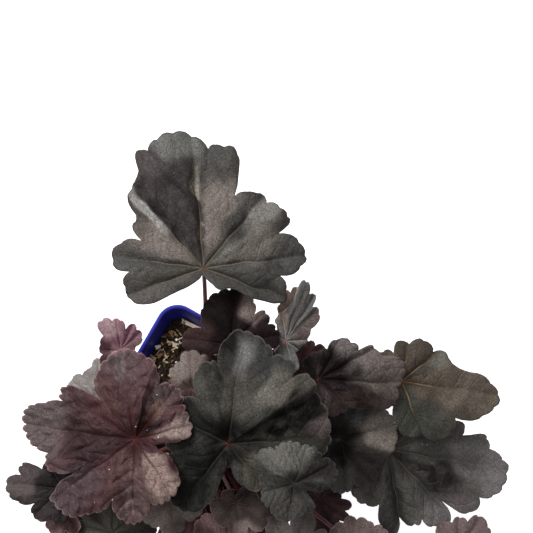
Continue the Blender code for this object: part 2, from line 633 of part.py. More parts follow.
def place(name, bm, finish, turn=0.0, sharp=50.0):
    """Makes the named object from a mesh in millimetres."""
    bmesh.ops.triangulate(bm, faces=[f for f in bm.faces if len(f.verts) > 4])
    bmesh.ops.recalc_face_normals(bm, faces=bm.faces)
    bm.transform(Matrix.Rotation(turn, 4, "Z") @ Matrix.Scale(MM, 4))
    mesh = bpy.data.meshes.new(name)
    bm.to_mesh(mesh)
    bm.free()
    mesh.shade_smooth()
    mesh.set_sharp_from_angle(angle=math.radians(sharp))
    mesh.materials.append(finish)
    made = bpy.data.objects.new(name, mesh)
    bpy.context.scene.collection.objects.link(made)
    return made


def main():
    for old in list(bpy.data.objects):
        bpy.data.objects.remove(old)

    pot = place("pot", pot_mesh(), material("pot_plastic", POT_BLUE, 0.35), sharp=30.0)
    cutter = place("drain_cutter", drain_cutter(), material("cutter", POT_BLUE, 0.5))
    cutter.hide_render = True
    cutter.display_type = "WIRE"
    drains = pot.modifiers.new("drain_holes", "BOOLEAN")
    drains.operation = "DIFFERENCE"
    drains.object = cutter

    place("soil", soil_mesh(), material("potting_mix", MIX_BROWN, 0.95), sharp=25.0)
    place("crown", crown_mesh(), material("crown_bark", CROWN_BROWN, 0.8))
    finishes = {name: material("blade_" + name, colour, 0.55) for name, colour in BLADE_COLOURS.items()}
    for item in LEAVES:
        place(item["name"], leaf_mesh(item), finishes[item["colour"]], turn=PLANT_TURN)


main()
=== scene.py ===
"""Looks of the heuchera in its square nursery pot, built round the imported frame.

The leaf list and the rules for its edges, blades and stalks are those that the frame was made by, in
millimetres in the plant's own plan, which PLANT_TURN sets against the pot. Angles are degrees
anticlockwise from the plan's +X.
"""

import math
import random

import bmesh
import bpy
import numpy as np
from mathutils import Matrix, Vector, noise

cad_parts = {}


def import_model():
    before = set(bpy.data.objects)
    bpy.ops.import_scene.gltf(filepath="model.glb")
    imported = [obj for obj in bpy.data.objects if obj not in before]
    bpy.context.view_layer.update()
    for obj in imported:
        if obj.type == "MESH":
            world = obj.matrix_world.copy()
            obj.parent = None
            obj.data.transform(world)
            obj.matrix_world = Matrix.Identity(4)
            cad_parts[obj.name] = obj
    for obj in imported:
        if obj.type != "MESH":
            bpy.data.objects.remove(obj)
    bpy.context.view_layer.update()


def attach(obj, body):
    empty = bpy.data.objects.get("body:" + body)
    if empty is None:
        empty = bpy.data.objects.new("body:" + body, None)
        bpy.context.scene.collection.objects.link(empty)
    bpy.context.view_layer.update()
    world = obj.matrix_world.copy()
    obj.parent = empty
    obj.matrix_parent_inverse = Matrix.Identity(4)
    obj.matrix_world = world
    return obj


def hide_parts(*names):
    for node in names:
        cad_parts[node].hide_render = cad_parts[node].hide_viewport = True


MM = 0.001
GAP = 0.35  # clearance between pieces that touch, mm

# Pot, mm
POT_HEIGHT = 95.0
RIM_SIDE = 100.0
RIM_CORNER = 11.0
RIM_FACE = 2.0  # width of the lip
RIM_DEPTH = 7.0  # height of the band that hangs from the lip
BODY_SIDE = 95.4
BASE_SIDE = 70.0
BASE_CORNER = 8.0
WALL = 1.2
FLOOR = 1.6
DRAIN_RADIUS = 4.0
DRAIN_OFFSET = 22.0

# Potting mix and crown, mm
SOIL_LEVEL = 83.0
CROWN_RADIUS = 12.0
CROWN_CENTRE = SOIL_LEVEL + 2.0
SEAT_TIERS = (14.0, 32.0, 50.0, 68.0, 88.0)  # how steeply each tier of stalks leaves the crown, degrees

# Leaves, mm and degrees
PLANT_TURN = math.radians(29.6)
HUB_RADIUS = 1.5
STALK_BASE = 1.6  # radius of a stalk at the crown
STALK_TOP = 1.0  # radius of a stalk at its leaf
ARRIVAL = 50.0  # how steeply a stalk comes up to its leaf unless the leaf says otherwise
LEAST_LEAVE = 36.0  # the least steepness with which a stalk leaves the crown
LEAVE_SHARE = 0.30  # how much of a stalk's length keeps near that steepness
LOBE_ROUND = 0.72  # power that rounds a lobe between its notch and its tip
SINUS_FADE = 16.0  # degrees in which the edge falls back towards the hub beside the sinus
DIP_WIDTH = 8.0
SHELF_RAMP = 6.0  # degrees in which a shelf rises


def leaf(name, hub, colour, edge, **form):
    """One leaf. hub is where the stalk meets the blade, and edge runs round it as notch, lobe tip, notch.

    Each point of edge is (angle, reach). slope is the blade's rise per mm along the plan's X and Y. pleat
    is how far the blade stands up between its main veins, dome how far its rim hangs, and wave the size of
    its rim's ripples. veins lists the angles of the main veins, or is empty where each lobe has one. dip is
    how far the hub lies below the blade round it. Each of shelves is a sector that stands higher, by start,
    end and height. lifts moves lobe tips up or down. seat is (tier, azimuth) on the crown. arrive is how
    steeply the stalk comes up to the hub, from the side that come gives, and bend is how much of its length
    that takes.
    """
    made = {
        "name": name,
        "hub": Vector(hub),
        "colour": colour,
        "edge": edge,
        "slope": (0.0, 0.0),
        "pleat": 2.6,
        "dome": 4.0,
        "wave": 1.0,
        "veins": (),
        "dip": 0.0,
        "lifts": {},
        "shelves": (),
        "arrive": ARRIVAL,
        "come": None,
        "bend": 0.33,
        "seat": (2, 0.0),
    }
    made.update(form)
    return made


def fan(heading, size, lobes, seed):
    """A leaf's edge by rule: lobes spread evenly about the heading, largest in front, each a little off."""
    draw = random.Random(seed)
    spread = 290.0 if lobes > 5 else 265.0
    pitch = spread / lobes
    edge = [(heading - spread / 2, size * 0.30)]
    for i in range(lobes):
        off = (i + 0.5) * pitch - spread / 2
        reach = size * (0.80 + 0.20 * math.cos(math.radians(off * 0.9)))
        edge.append((heading + off + draw.uniform(-3, 3), reach * draw.uniform(0.93, 1.05)))
        edge.append((heading + off + pitch / 2, reach * draw.uniform(0.68, 0.80)))
    edge[-1] = (heading + spread / 2, size * 0.30)
    return edge


# Each leaf that shows from above, then those of the far side by rule
LEAVES = [
    leaf("leaf_top", (1, 77, 150), "slate",
         [(-62, 9), (-46, 13.5), (-35, 19), (-19, 40), (-7, 36.5), (7, 47), (24, 38.5), (31, 46), (46, 42),
          (52, 42.5), (66, 36), (79, 57.5), (88, 55.5), (102, 64), (115, 60.5), (119, 62.5), (124, 54.5),
          (129, 51), (143, 40), (147, 37), (156, 31.5), (173, 43), (183, 34.5), (200, 37.5), (216, 25)],
         slope=(0.0, 0.1), pleat=3.6, dome=6.0, wave=1.8, dip=2.0, veins=(-20, 7, 50, 95, 133, 173, 200),
         lifts={3: 3.0, 6: 3.0}, arrive=66.0, seat=(2, 86)),
    leaf("leaf_plum", (-28.5, -1, 164.5), "plum",
         [(-8, 13), (14, 26), (36, 26), (51, 29.5), (67, 27), (98, 40), (133, 24), (146, 40), (154, 38),
          (170, 53), (189, 41), (195, 42), (208, 29), (216, 47), (250, 28), (269, 37.5), (284, 29), (305, 30),
          (337, 13)],
         slope=(0.12, 0.0), pleat=3.2, dome=9.0, wave=1.6, dip=4.0, shelves=((70, 130, 2.5), (282, 330, 2.5)),
         veins=(14, 52, 100, 146, 173, 216, 269, 306), seat=(3, 168)),
    leaf("leaf_centre", (13, -3, 166), "black",
         [(-82, 10), (-48, 25), (-25, 23), (8, 46.5), (31, 45), (39, 47), (46, 41), (54, 46.5), (63, 44.5),
          (84, 51), (97, 36.5), (106, 38), (123, 24), (155, 31), (188, 25), (230, 36.5), (262, 14)],
         slope=(0.16, 0.02), pleat=4.0, dome=13.0, wave=1.4, dip=4.0, shelves=((28, 136, 4.5),),
         veins=(-50, 4, 81, 153, 232), seat=(4, 0)),
    leaf("leaf_bronze", (93, 25, 138), "bronze",
         [(-112, 9), (-80, 25.5), (-70, 25), (-48, 33), (-33, 31), (-9, 47), (8, 33), (24, 25), (43, 20.5),
          (60, 23), (76, 18), (94, 18.5), (106, 14), (130, 17), (165, 9)],
         slope=(-0.12, 0.0), pleat=2.4, dome=5.0, dip=1.0, veins=(-68, -7, 40, 78, 125), bend=0.15,
         seat=(1, 10)),
    leaf("leaf_right", (88, -7, 118), "slate",
         [(-150, 12), (-115, 29), (-101, 27), (-86, 41), (-80, 34), (-71, 38.5), (-64, 37), (-49, 46),
          (-44, 38), (-33, 53), (-28, 51.5), (-12, 61), (0, 50.5), (5, 49.5), (11, 38), (17, 38.5), (24, 30),
          (45, 27), (75, 10)],
         slope=(-0.12, 0.06), pleat=4.2, dome=8.0, dip=2.5, veins=(-112, -80, -46, -10, 22, 50),
         seat=(0, 356)),
    leaf("leaf_shade", (54, 26, 147), "slate",
         [(-100, 9), (-48, 19), (-30, 27.5), (-16, 37.5), (-6, 37), (9, 40), (20, 33), (28, 30), (37, 23),
          (48, 23.5), (75, 14), (120, 12), (150, 7)],
         slope=(-0.06, 0.1), pleat=3.4, dip=3.0, veins=(-48, -3, 28, 60, 120), seat=(2, 28)),
    leaf("leaf_inner", (64, -2, 132), "slate",
         [(-125, 10), (-84, 25), (-71, 21.5), (-52, 26), (-36, 18), (14, 28), (46, 21), (66, 21.5), (88, 15),
          (125, 17), (165, 8)],
         slope=(-0.08, 0.0), pleat=3.4, dip=2.5, seat=(2, 0)),
    leaf("leaf_small", (42, -20, 175), "slate",
         [(-22, 8), (28, 19.5), (42, 16), (62, 18), (78, 17), (100, 18.5), (120, 17), (143, 20.5), (163, 15),
          (178, 15), (186, 12.5), (205, 15.5), (224, 14.5), (250, 16), (290, 12.5), (303, 14), (322, 8)],
         pleat=2.4, dome=4.0, dip=2.5, veins=(28, 70, 133, 195, 262, 303), wave=0.8, seat=(3, 335)),
    leaf("leaf_dark", (14, 42, 138), "maroon",
         [(-70, 9), (-30, 20), (-5, 19), (12, 22), (30, 20), (46, 22), (54, 18.5), (88, 27), (150, 14.5),
          (173, 23.5), (205, 11)],
         pleat=2.4, dome=4.0, dip=1.5, seat=(3, 75)),
    leaf("leaf_young", (-4, 21, 152), "bronze",
         [(-165, 4), (-115, 7), (-95, 6.5), (-60, 5.0), (-20, 3.6), (45, 6.8), (55, 9.5), (68, 17),
          (76, 16.5), (92, 18), (112, 14.5), (132, 13.5), (148, 11), (160, 11), (174, 5)],
         pleat=1.4, dome=2.5, dip=1.0, veins=(-95, 45, 92, 140), wave=0.4, seat=(3, 121), come=175.0),
    leaf("leaf_folded", (39, 44, 134), "silver",
         [(-140, 4), (-73, 15), (-50, 7), (-37, 7.2), (-15, 8.5), (0, 9.5), (25, 12.5), (46, 20.5), (51, 20),
          (56, 24.5), (62, 24), (71, 29), (80, 19), (95, 13.5), (120, 6), (150, 5), (190, 4)],
         slope=(0.24, 0.36), pleat=2.6, dome=2.0, wave=0.4, seat=(2, 55)),
    leaf("leaf_tan", (41.5, 50, 122), "bronze",
         [(-60, 6), (0, 10), (30, 10), (60, 14), (70, 16.5), (84, 20.3), (90, 18), (97, 18.8), (108, 15),
          (117, 12.5), (128, 10), (139, 9), (160, 7), (190, 6), (230, 5)],
         slope=(0.0, 0.2), pleat=1.8, dome=2.0, wave=0.5, seat=(1, 48)),
    leaf("leaf_red", (45, 30, 111), "maroon",
         [(-80, 8), (-30, 14), (-5, 12), (27, 19.5), (36, 18.5), (47, 18), (56, 16), (66, 16.5), (85, 12),
          (120, 11), (150, 9), (180, 12), (215, 8)],
         pleat=2.0, dome=2.5, wave=0.6, seat=(0, 33)),
    leaf("leaf_pink", (-39.5, 40, 126), "pink",
         [(-70, 4), (-25, 6), (10, 8), (42, 13), (50, 12.8), (61, 13.7), (74, 10.5), (95, 14.5), (104, 14.5),
          (124, 16.5), (140, 10.5), (182, 10), (195, 9), (226, 12), (250, 5)],
         slope=(0.0, 0.35), pleat=2.2, dome=1.5, wave=0.5, seat=(2, 138)),
    leaf("leaf_pale", (-52, 18, 116), "silver",
         [(-60, 8), (-20, 15), (10, 12), (50, 16), (72, 14), (87, 18.5), (100, 15), (116, 13.5), (124, 13),
          (150, 15), (170, 13), (200, 16), (240, 8)],
         slope=(0.0, -0.1), pleat=2.0, dome=3.0, wave=0.6, seat=(1, 158)),
    leaf("leaf_left", (-66.5, -25.5, 120), "umber",
         [(-60, 8), (-20, 16), (10, 14), (50, 16), (80, 12), (118, 15), (138, 14.5), (152, 23.5), (163, 22.5),
          (174, 28), (207, 15.5), (224, 19), (245, 14), (264, 16), (285, 8)],
         pleat=2.4, dome=5.0, veins=(-20, 50, 118, 174, 224, 264), seat=(1, 201)),
    leaf("leaf_left_low", (-66, -35, 112), "plum", fan(188, 16, 5, 11), pleat=1.8, dome=2.5, bend=0.15,
         seat=(0, 199)),
    leaf("leaf_left_pale", (-60, -45.5, 103), "umber",
         [(60, 6), (100, 9), (115, 8), (131, 12), (147, 11), (162, 14), (172, 11), (185, 12), (210, 9),
          (240, 10), (280, 6)],
         pleat=1.2, dome=1.5, arrive=60.0, bend=0.14, seat=(0, 217)),
    leaf("leaf_moss", (-44, -47.5, 109), "black",
         [(-40, 8), (2, 21), (16, 18), (42, 17.5), (62, 14), (90, 16), (112, 13.5), (140, 18.5), (157, 15.3),
          (168, 22), (185, 16), (205, 18), (230, 12), (265, 16), (300, 8)],
         pleat=2.2, dome=3.0, bend=0.2, seat=(1, 225)),
    leaf("leaf_grey", (-15, -27, 130), "umber",
         [(80, 7), (110, 15), (130, 12), (160, 15), (185, 13), (205, 17), (216, 15.5), (235, 18), (252, 16.5),
          (275, 19), (300, 14), (330, 17), (350, 12), (385, 14), (402, 7)],
         pleat=2.0, dome=3.0, seat=(3, 235)),
    leaf("leaf_core", (16, -30.5, 142), "plum",
         [(100, 4), (140, 8), (160, 7), (186, 12), (208, 10), (230, 13), (250, 11), (275, 15), (298, 12.5),
          (320, 17.5), (335, 16), (352, 16.5), (372, 11), (400, 10), (440, 4)],
         pleat=1.6, dome=3.0, wave=0.6, seat=(3, 290)),
    leaf("leaf_rose", (13, -49, 134), "pink", fan(98, 20, 5, 15), pleat=1.8, dome=2.0, wave=0.6,
         seat=(2, 278)),
    leaf("leaf_rust", (-6, -50, 118), "plum", fan(80, 18, 5, 20), pleat=1.4, dome=2.0, wave=0.5,
         seat=(1, 272)),
    leaf("leaf_deep", (37, -24, 122), "maroon", fan(352, 15, 7, 16), pleat=2.0, dome=4.0, wave=0.8,
         seat=(2, 305)),
    leaf("leaf_ember", (54.5, -31.5, 113), "maroon",
         [(-172, 5), (-145, 11.5), (-118, 12), (-62, 17), (-42, 14.5), (-29, 17), (-20, 14.5), (-8, 16.5),
          (6, 12), (22, 12), (35, 10), (60, 12), (110, 9), (140, 10), (172, 5)],
         pleat=1.6, dome=2.0, wave=0.5, seat=(1, 338)),
    leaf("leaf_mauve", (71, -51, 130), "plum",
         [(-100, 7), (-50, 15), (-20, 14), (15, 16.5), (45, 13), (70, 13.2), (85, 12.3), (101, 13.5),
          (116, 12), (132, 13), (160, 12), (190, 15), (220, 7)],
         pleat=1.8, dome=2.5, bend=0.18, seat=(2, 331)),
    leaf("leaf_far_mauve", (120, -53, 122), "plum",
         [(-120, 8), (-80, 17), (-50, 15), (-10, 19), (20, 15.5), (50, 18.6), (67, 13.8), (84, 14.3),
          (100, 12.5), (126, 13.8), (150, 11), (175, 13), (205, 7)],
         pleat=1.8, dome=3.0, come=200, bend=0.45, seat=(0, 337)),
    leaf("leaf_blue", (54, 5.5, 108), "slate", fan(335, 20, 5, 17), pleat=1.6, dome=2.0, wave=0.5,
         seat=(0, 14)),
    leaf("leaf_under_mid", (20, 14, 132), "maroon", fan(40, 15, 5, 19), pleat=1.6, dome=2.5, seat=(3, 25)),
    leaf("leaf_nook", (25, -14, 134), "maroon", fan(295, 13, 5, 29), pleat=1.6, dome=2.5, seat=(1, 291.5)),
    leaf("leaf_back_1", (-64, -84, 108), "plum", fan(228, 34, 7, 21), pleat=3.0, dome=5.0, bend=0.15,
         seat=(0, 236)),
    leaf("leaf_back_2", (-24, -90, 122), "black", fan(253, 38, 7, 22), pleat=3.2, dome=8.0, seat=(1, 250)),
    leaf("leaf_back_3", (20, -104, 112), "slate", fan(276, 32, 7, 23), pleat=3.0, dome=8.0, bend=0.2,
         seat=(0, 280)),
    leaf("leaf_back_4", (60, -92, 122), "plum", fan(302, 30, 7, 24), pleat=3.0, dome=7.0, seat=(0, 299)),
    leaf("leaf_back_5", (98, -86, 116), "black", fan(318, 26, 7, 25), pleat=2.6, dome=6.0, bend=0.2,
         seat=(0, 318)),
    leaf("leaf_back_6", (-30, -68, 148), "slate", fan(240, 28, 7, 26), pleat=2.8, dome=6.0, seat=(2, 246)),
    leaf("leaf_back_7", (42, -56, 146), "umber", fan(75, 22, 7, 27), pleat=2.4, dome=5.0, seat=(1, 312)),
]


def in_plan(degrees, length):
    angle = math.radians(degrees)
    return Vector((math.cos(angle) * length, math.sin(angle) * length, 0.0))


def sinus_angle(item):
    """The middle of the gap in the edge where the stalk leaves."""
    return (item["edge"][0][0] + item["edge"][-1][0] - 360.0) / 2


def smooth_reach(item, degrees):
    """The edge's reach in a direction, without teeth, and how far that is from a lobe's tip, 0 to 1."""
    edge = item["edge"]
    if degrees < edge[0][0]:
        degrees += 360.0
    if degrees > edge[-1][0]:
        off = min(degrees - edge[-1][0], edge[0][0] + 360.0 - degrees)
        near = edge[-1] if degrees - edge[-1][0] < edge[0][0] + 360.0 - degrees else edge[0]
        least = HUB_RADIUS * 1.8
        return least + max(0.0, near[1] - least) * math.exp(-off / SINUS_FADE), 1.0
    for i in range(len(edge) - 1):
        (a0, r0), (a1, r1) = edge[i], edge[i + 1]
        if degrees <= a1:
            break
    to_tip = i % 2 == 0
    across = (degrees - a0) / (a1 - a0)
    rise = across if to_tip else 1.0 - across
    notch, tip = (r0, r1) if to_tip else (r1, r0)
    return notch + (tip - notch) * math.sin(math.pi / 2 * rise) ** LOBE_ROUND, 1.0 - rise


def fold(item, degrees):
    """How far a direction is from the nearest main vein, 0 to 1 halfway on, and that vein's angle."""
    edge = item["edge"]
    if degrees < edge[0][0]:
        degrees += 360.0
    veins = list(item["veins"]) or [point[0] for point in edge[1::2]]
    if degrees <= veins[0]:
        return (veins[0] - degrees) / (veins[0] - edge[0][0]), veins[0]
    if degrees >= veins[-1]:
        return min(1.0, (degrees - veins[-1]) / (edge[-1][0] - veins[-1])), veins[-1]
    for a, b in zip(veins, veins[1:]):
        if degrees <= b:
            break
    share = 2.0 * (degrees - a) / (b - a)
    return (share, a) if share <= 1.0 else (2.0 - share, b)


def shelf_rise(item, degrees):
    """How much higher the blade stands in a direction where its lobes overlap."""
    edge = item["edge"]
    turned = degrees + 360.0 if degrees < edge[0][0] else degrees
    total = 0.0
    for start, end, height in item["shelves"]:
        inside = min(turned - start, end - turned) / SHELF_RAMP
        total += height * min(1.0, max(0.0, inside))
    return total


def hub_point(item):
    """Where the stalk meets the blade, at the bottom of the dip."""
    return item["hub"] - Vector((0.0, 0.0, item["dip"]))


def bezier(points, share):
    a, b, c, d = points
    rest = 1.0 - share
    return a * rest**3 + b * (3 * rest * rest * share) + c * (3 * rest * share * share) + d * share**3


def stalk_curve(item):
    """Control points of the stalk, from the hub down to its seat on the crown."""
    hub = hub_point(item)
    tier, azimuth = item["seat"]
    climb = math.radians(SEAT_TIERS[tier])
    steepest = max(climb, math.radians(LEAST_LEAVE))
    tilt_room = STALK_BASE * math.sin(steepest - climb)
    out = in_plan(azimuth, math.cos(climb)) + Vector((0.0, 0.0, math.sin(climb)))
    leave = in_plan(azimuth, math.cos(steepest)) + Vector((0.0, 0.0, math.sin(steepest)))
    seat = Vector((0.0, 0.0, CROWN_CENTRE)) + out * (CROWN_RADIUS + GAP + tilt_room)
    flat = hub - seat
    come = item["come"]
    side = math.degrees(math.atan2(flat.y, flat.x)) if come is None else come + 180.0
    steep = math.radians(item["arrive"])
    arrive = in_plan(side, math.cos(steep)) + Vector((0.0, 0.0, math.sin(steep)))
    length = flat.length
    return [hub, hub - arrive * length * item["bend"], seat + leave * length * LEAVE_SHARE, seat]


# Fine blades and stalks, mm
SKIN = 0.55  # thickness of a blade
TOOTH_COLUMNS = 8  # columns of points in each scallop
SCALLOPS = (5.0, 1.15)  # width and depth of a leaf's fine scallops where OWN gives none
LARGE_SPAN = 33.0  # reach from which a leaf has the rows of a large one
LARGE_ROWS = 46
SMALL_ROWS = 24
FULL_SPAN = 45.0  # reach from which the relief has its full size
RIPPLE_HEIGHT = 2.2
QUILT_DEPTH = 0.34
STRAY = 0.8  # how far the grid wanders sideways
TUBE_SIDES = 12
TUBE_STEPS = 26
RIB_SPACING = 7.0
RIB_SLANT = 0.8  # how far the ribs lean outwards from their vein

# Fine pot, mix and crown, mm
SHARP = math.radians(38.0)  # bend from which an edge of the pot shows as sharp
SOIL_ROWS = 80  # rings of points from the pot's wall to the crown
CHIP_DRAWS = 2600
GRIT_DRAWS = 90
CORNER_FROM = 9.0  # how far from the wall the rounding of the mix's corners starts
CORNER_REACH = 7.5  # how far chips lie into that rounding
CROWN_TIERS = 26
CROWN_SIDES = 64

# The view that the leaves are laid out for, mm in the plan
CAMERA_AT = Vector((30.0, 15.0, 745.0))
CAMERA_TILT = math.radians(6.0)
CAMERA_LENS = 87.8

# Surface colours of each kind of leaf: dark ground, ground, pale patches, veins, edge, hub
LOOKS = {
    "slate": dict(deep=(0.03, 0.027, 0.024), ground=(0.062, 0.058, 0.052), patch=(0.12, 0.108, 0.098),
                  vein=(0.17, 0.14, 0.09), rim=(0.06, 0.03, 0.034), hub=(0.11, 0.035, 0.022)),
    "plum": dict(deep=(0.04, 0.014, 0.016), ground=(0.095, 0.048, 0.052), patch=(0.15, 0.1, 0.1),
                 vein=(0.12, 0.07, 0.06), rim=(0.17, 0.085, 0.09), hub=(0.1, 0.01, 0.008)),
    "black": dict(deep=(0.005, 0.005, 0.004), ground=(0.028, 0.028, 0.025), patch=(0.08, 0.082, 0.078),
                  vein=(0.07, 0.07, 0.055), rim=(0.11, 0.098, 0.092), hub=(0.08, 0.01, 0.008)),
    "bronze": dict(deep=(0.045, 0.038, 0.028), ground=(0.08, 0.063, 0.047), patch=(0.12, 0.1, 0.08),
                   vein=(0.26, 0.15, 0.075), rim=(0.05, 0.032, 0.028), hub=(0.26, 0.1, 0.04)),
    "umber": dict(deep=(0.022, 0.016, 0.015), ground=(0.055, 0.044, 0.04), patch=(0.1, 0.085, 0.078),
                  vein=(0.09, 0.06, 0.05), rim=(0.05, 0.03, 0.03), hub=(0.1, 0.03, 0.02)),
    "maroon": dict(deep=(0.007, 0.004, 0.004), ground=(0.018, 0.009, 0.009), patch=(0.04, 0.024, 0.023),
                   vein=(0.04, 0.018, 0.018), rim=(0.05, 0.022, 0.024), hub=(0.06, 0.008, 0.008)),
    "pink": dict(deep=(0.09, 0.045, 0.055), ground=(0.19, 0.115, 0.13), patch=(0.28, 0.19, 0.2),
                 vein=(0.16, 0.07, 0.08), rim=(0.28, 0.18, 0.18), hub=(0.18, 0.05, 0.05)),
    "silver": dict(deep=(0.1, 0.085, 0.08), ground=(0.2, 0.185, 0.175), patch=(0.34, 0.31, 0.295),
                   vein=(0.15, 0.1, 0.1), rim=(0.15, 0.09, 0.09), hub=(0.16, 0.05, 0.05)),
}

# What single leaves have of their own; tone makes all of a leaf's colours lighter or darker, and its
# high values, up to 7, lighten low leaves in the shade of the leaves above them: painted light
OWN = {
    "leaf_top": dict(veins=0.55, vein_width=0.5, ribs=0.08, rims=0.7, gloss=0.42, tone=1.04, rugged=0.8,
                     patchy=0.3, scallops=(7.0, 1.0)),
    "leaf_plum": dict(veins=0.6, vein_reach=0.5, ribs=0.18, rims=0.9, specks=0.8, gloss=0.44,
                      tone=(0.875, 0.77, 0.78), rugged=2.3, patchy=0.25, scallops=(3.8, 1.3),
                      rim=(0.22, 0.14, 0.142), nets=0.2, vein=(0.075, 0.01, 0.009), crease=0.25),
    "leaf_centre": dict(veins=0.3, ribs=0.1, rims=0.6, gloss=0.38, shine=0.1, patchy=0.55, nets=0.18,
                        tone=(0.935, 0.865, 0.81), scallops=(6.5, 1.2)),
    "leaf_bronze": dict(veins=0.6, vein_width=0.5, vein_reach=0.42, ribs=0.05, rims=0.5, tone=1.12,
                        rugged=0.7, scallops=(7.0, 0.8)),
    "leaf_right": dict(vein=(0.14, 0.125, 0.1), veins=0.35, vein_width=0.4, ribs=0.08, rims=0.6, specks=0.4,
                       gloss=0.4, tone=1.64, patchy=0.35, nets=0.2, scallops=(6.0, 1.2)),
    # leaf_shade's hub and veins are near black: painted shade of the pit round its hub, over their dark red
    "leaf_shade": dict(ground=(0.046, 0.034, 0.031), deep=(0.008, 0.005, 0.005), vein=(0.03, 0.012, 0.01),
                       veins=0.35, vein_reach=0.45, shine=0.14, patchy=0.35, nets=0.2, tone=1.03,
                       hub=(0.05, 0.012, 0.01)),
    "leaf_inner": dict(ground=(0.04, 0.034, 0.03), deep=(0.005, 0.004, 0.004), vein=(0.06, 0.04, 0.03),
                       veins=0.3, vein_width=0.4, tone=1.24, nets=0.2, scallops=(5.0, 0.7)),
    "leaf_small": dict(ground=(0.062, 0.059, 0.05), deep=(0.012, 0.01, 0.009), rim=(0.14, 0.125, 0.11),
                       veins=0.3, vein_width=0.4, rugged=1.6, patchy=0.4, nets=0.25, scallops=(3.8, 1.1),
                       tone=0.95),
    "leaf_dark": dict(ground=(0.014, 0.008, 0.008), deep=(0.005, 0.003, 0.003), patch=(0.05, 0.035, 0.033),
                      shine=0.06, tone=1.05),
    "leaf_young": dict(ground=(0.15, 0.115, 0.1), deep=(0.055, 0.033, 0.028), patch=(0.24, 0.2, 0.18),
                       vein=(0.1, 0.055, 0.045), rim=(0.1, 0.05, 0.045), hub=(0.36, 0.02, 0.045),
                       hub_size=1.2, veins=0.4, tone=1.0),
    "leaf_folded": dict(ground=(0.13, 0.125, 0.115), deep=(0.03, 0.025, 0.022), vein=(0.34, 0.33, 0.31),
                        veins=0.4, vein_reach=0.9, ribs=0.3, rim=(0.34, 0.31, 0.29), hub=(0.35, 0.03, 0.04),
                        tone=1.3),
    "leaf_tan": dict(ground=(0.13, 0.098, 0.082), deep=(0.06, 0.045, 0.038), tone=5.0),
    "leaf_red": dict(ground=(0.055, 0.028, 0.03), deep=(0.02, 0.008, 0.009), patch=(0.1, 0.062, 0.066),
                     tone=3.6),
    "leaf_left": dict(ground=(0.036, 0.027, 0.026), deep=(0.012, 0.008, 0.008), patch=(0.06, 0.048, 0.044),
                      tone=0.79),
    "leaf_left_low": dict(ground=(0.03, 0.018, 0.018), deep=(0.012, 0.006, 0.006), tone=7.0),
    "leaf_left_pale": dict(ground=(0.055, 0.042, 0.044), deep=(0.028, 0.019, 0.02)),
    "leaf_moss": dict(ground=(0.034, 0.032, 0.025), deep=(0.012, 0.01, 0.007), tone=2.2),
    "leaf_grey": dict(ground=(0.105, 0.088, 0.08), deep=(0.045, 0.035, 0.031), tone=2.5),
    "leaf_core": dict(ground=(0.036, 0.027, 0.024), deep=(0.01, 0.007, 0.006), patch=(0.09, 0.07, 0.064),
                      tone=2.85),
    "leaf_rose": dict(ground=(0.13, 0.075, 0.078), deep=(0.04, 0.02, 0.02), tone=3.0),
    "leaf_mauve": dict(ground=(0.085, 0.065, 0.06), deep=(0.04, 0.028, 0.026), rim=(0.12, 0.075, 0.072),
                       tone=3.9),
    "leaf_far_mauve": dict(ground=(0.085, 0.06, 0.06), deep=(0.045, 0.028, 0.028), rim=(0.12, 0.075, 0.072),
                           tone=2.0),
    "leaf_back_7": dict(ground=(0.085, 0.072, 0.066), deep=(0.035, 0.028, 0.025), rim=(0.16, 0.12, 0.11),
                        tone=1.4),
    "leaf_pink": dict(tone=2.9),
    "leaf_pale": dict(tone=1.8),
    "leaf_rust": dict(tone=1.9),
    "leaf_ember": dict(tone=5.0),
}
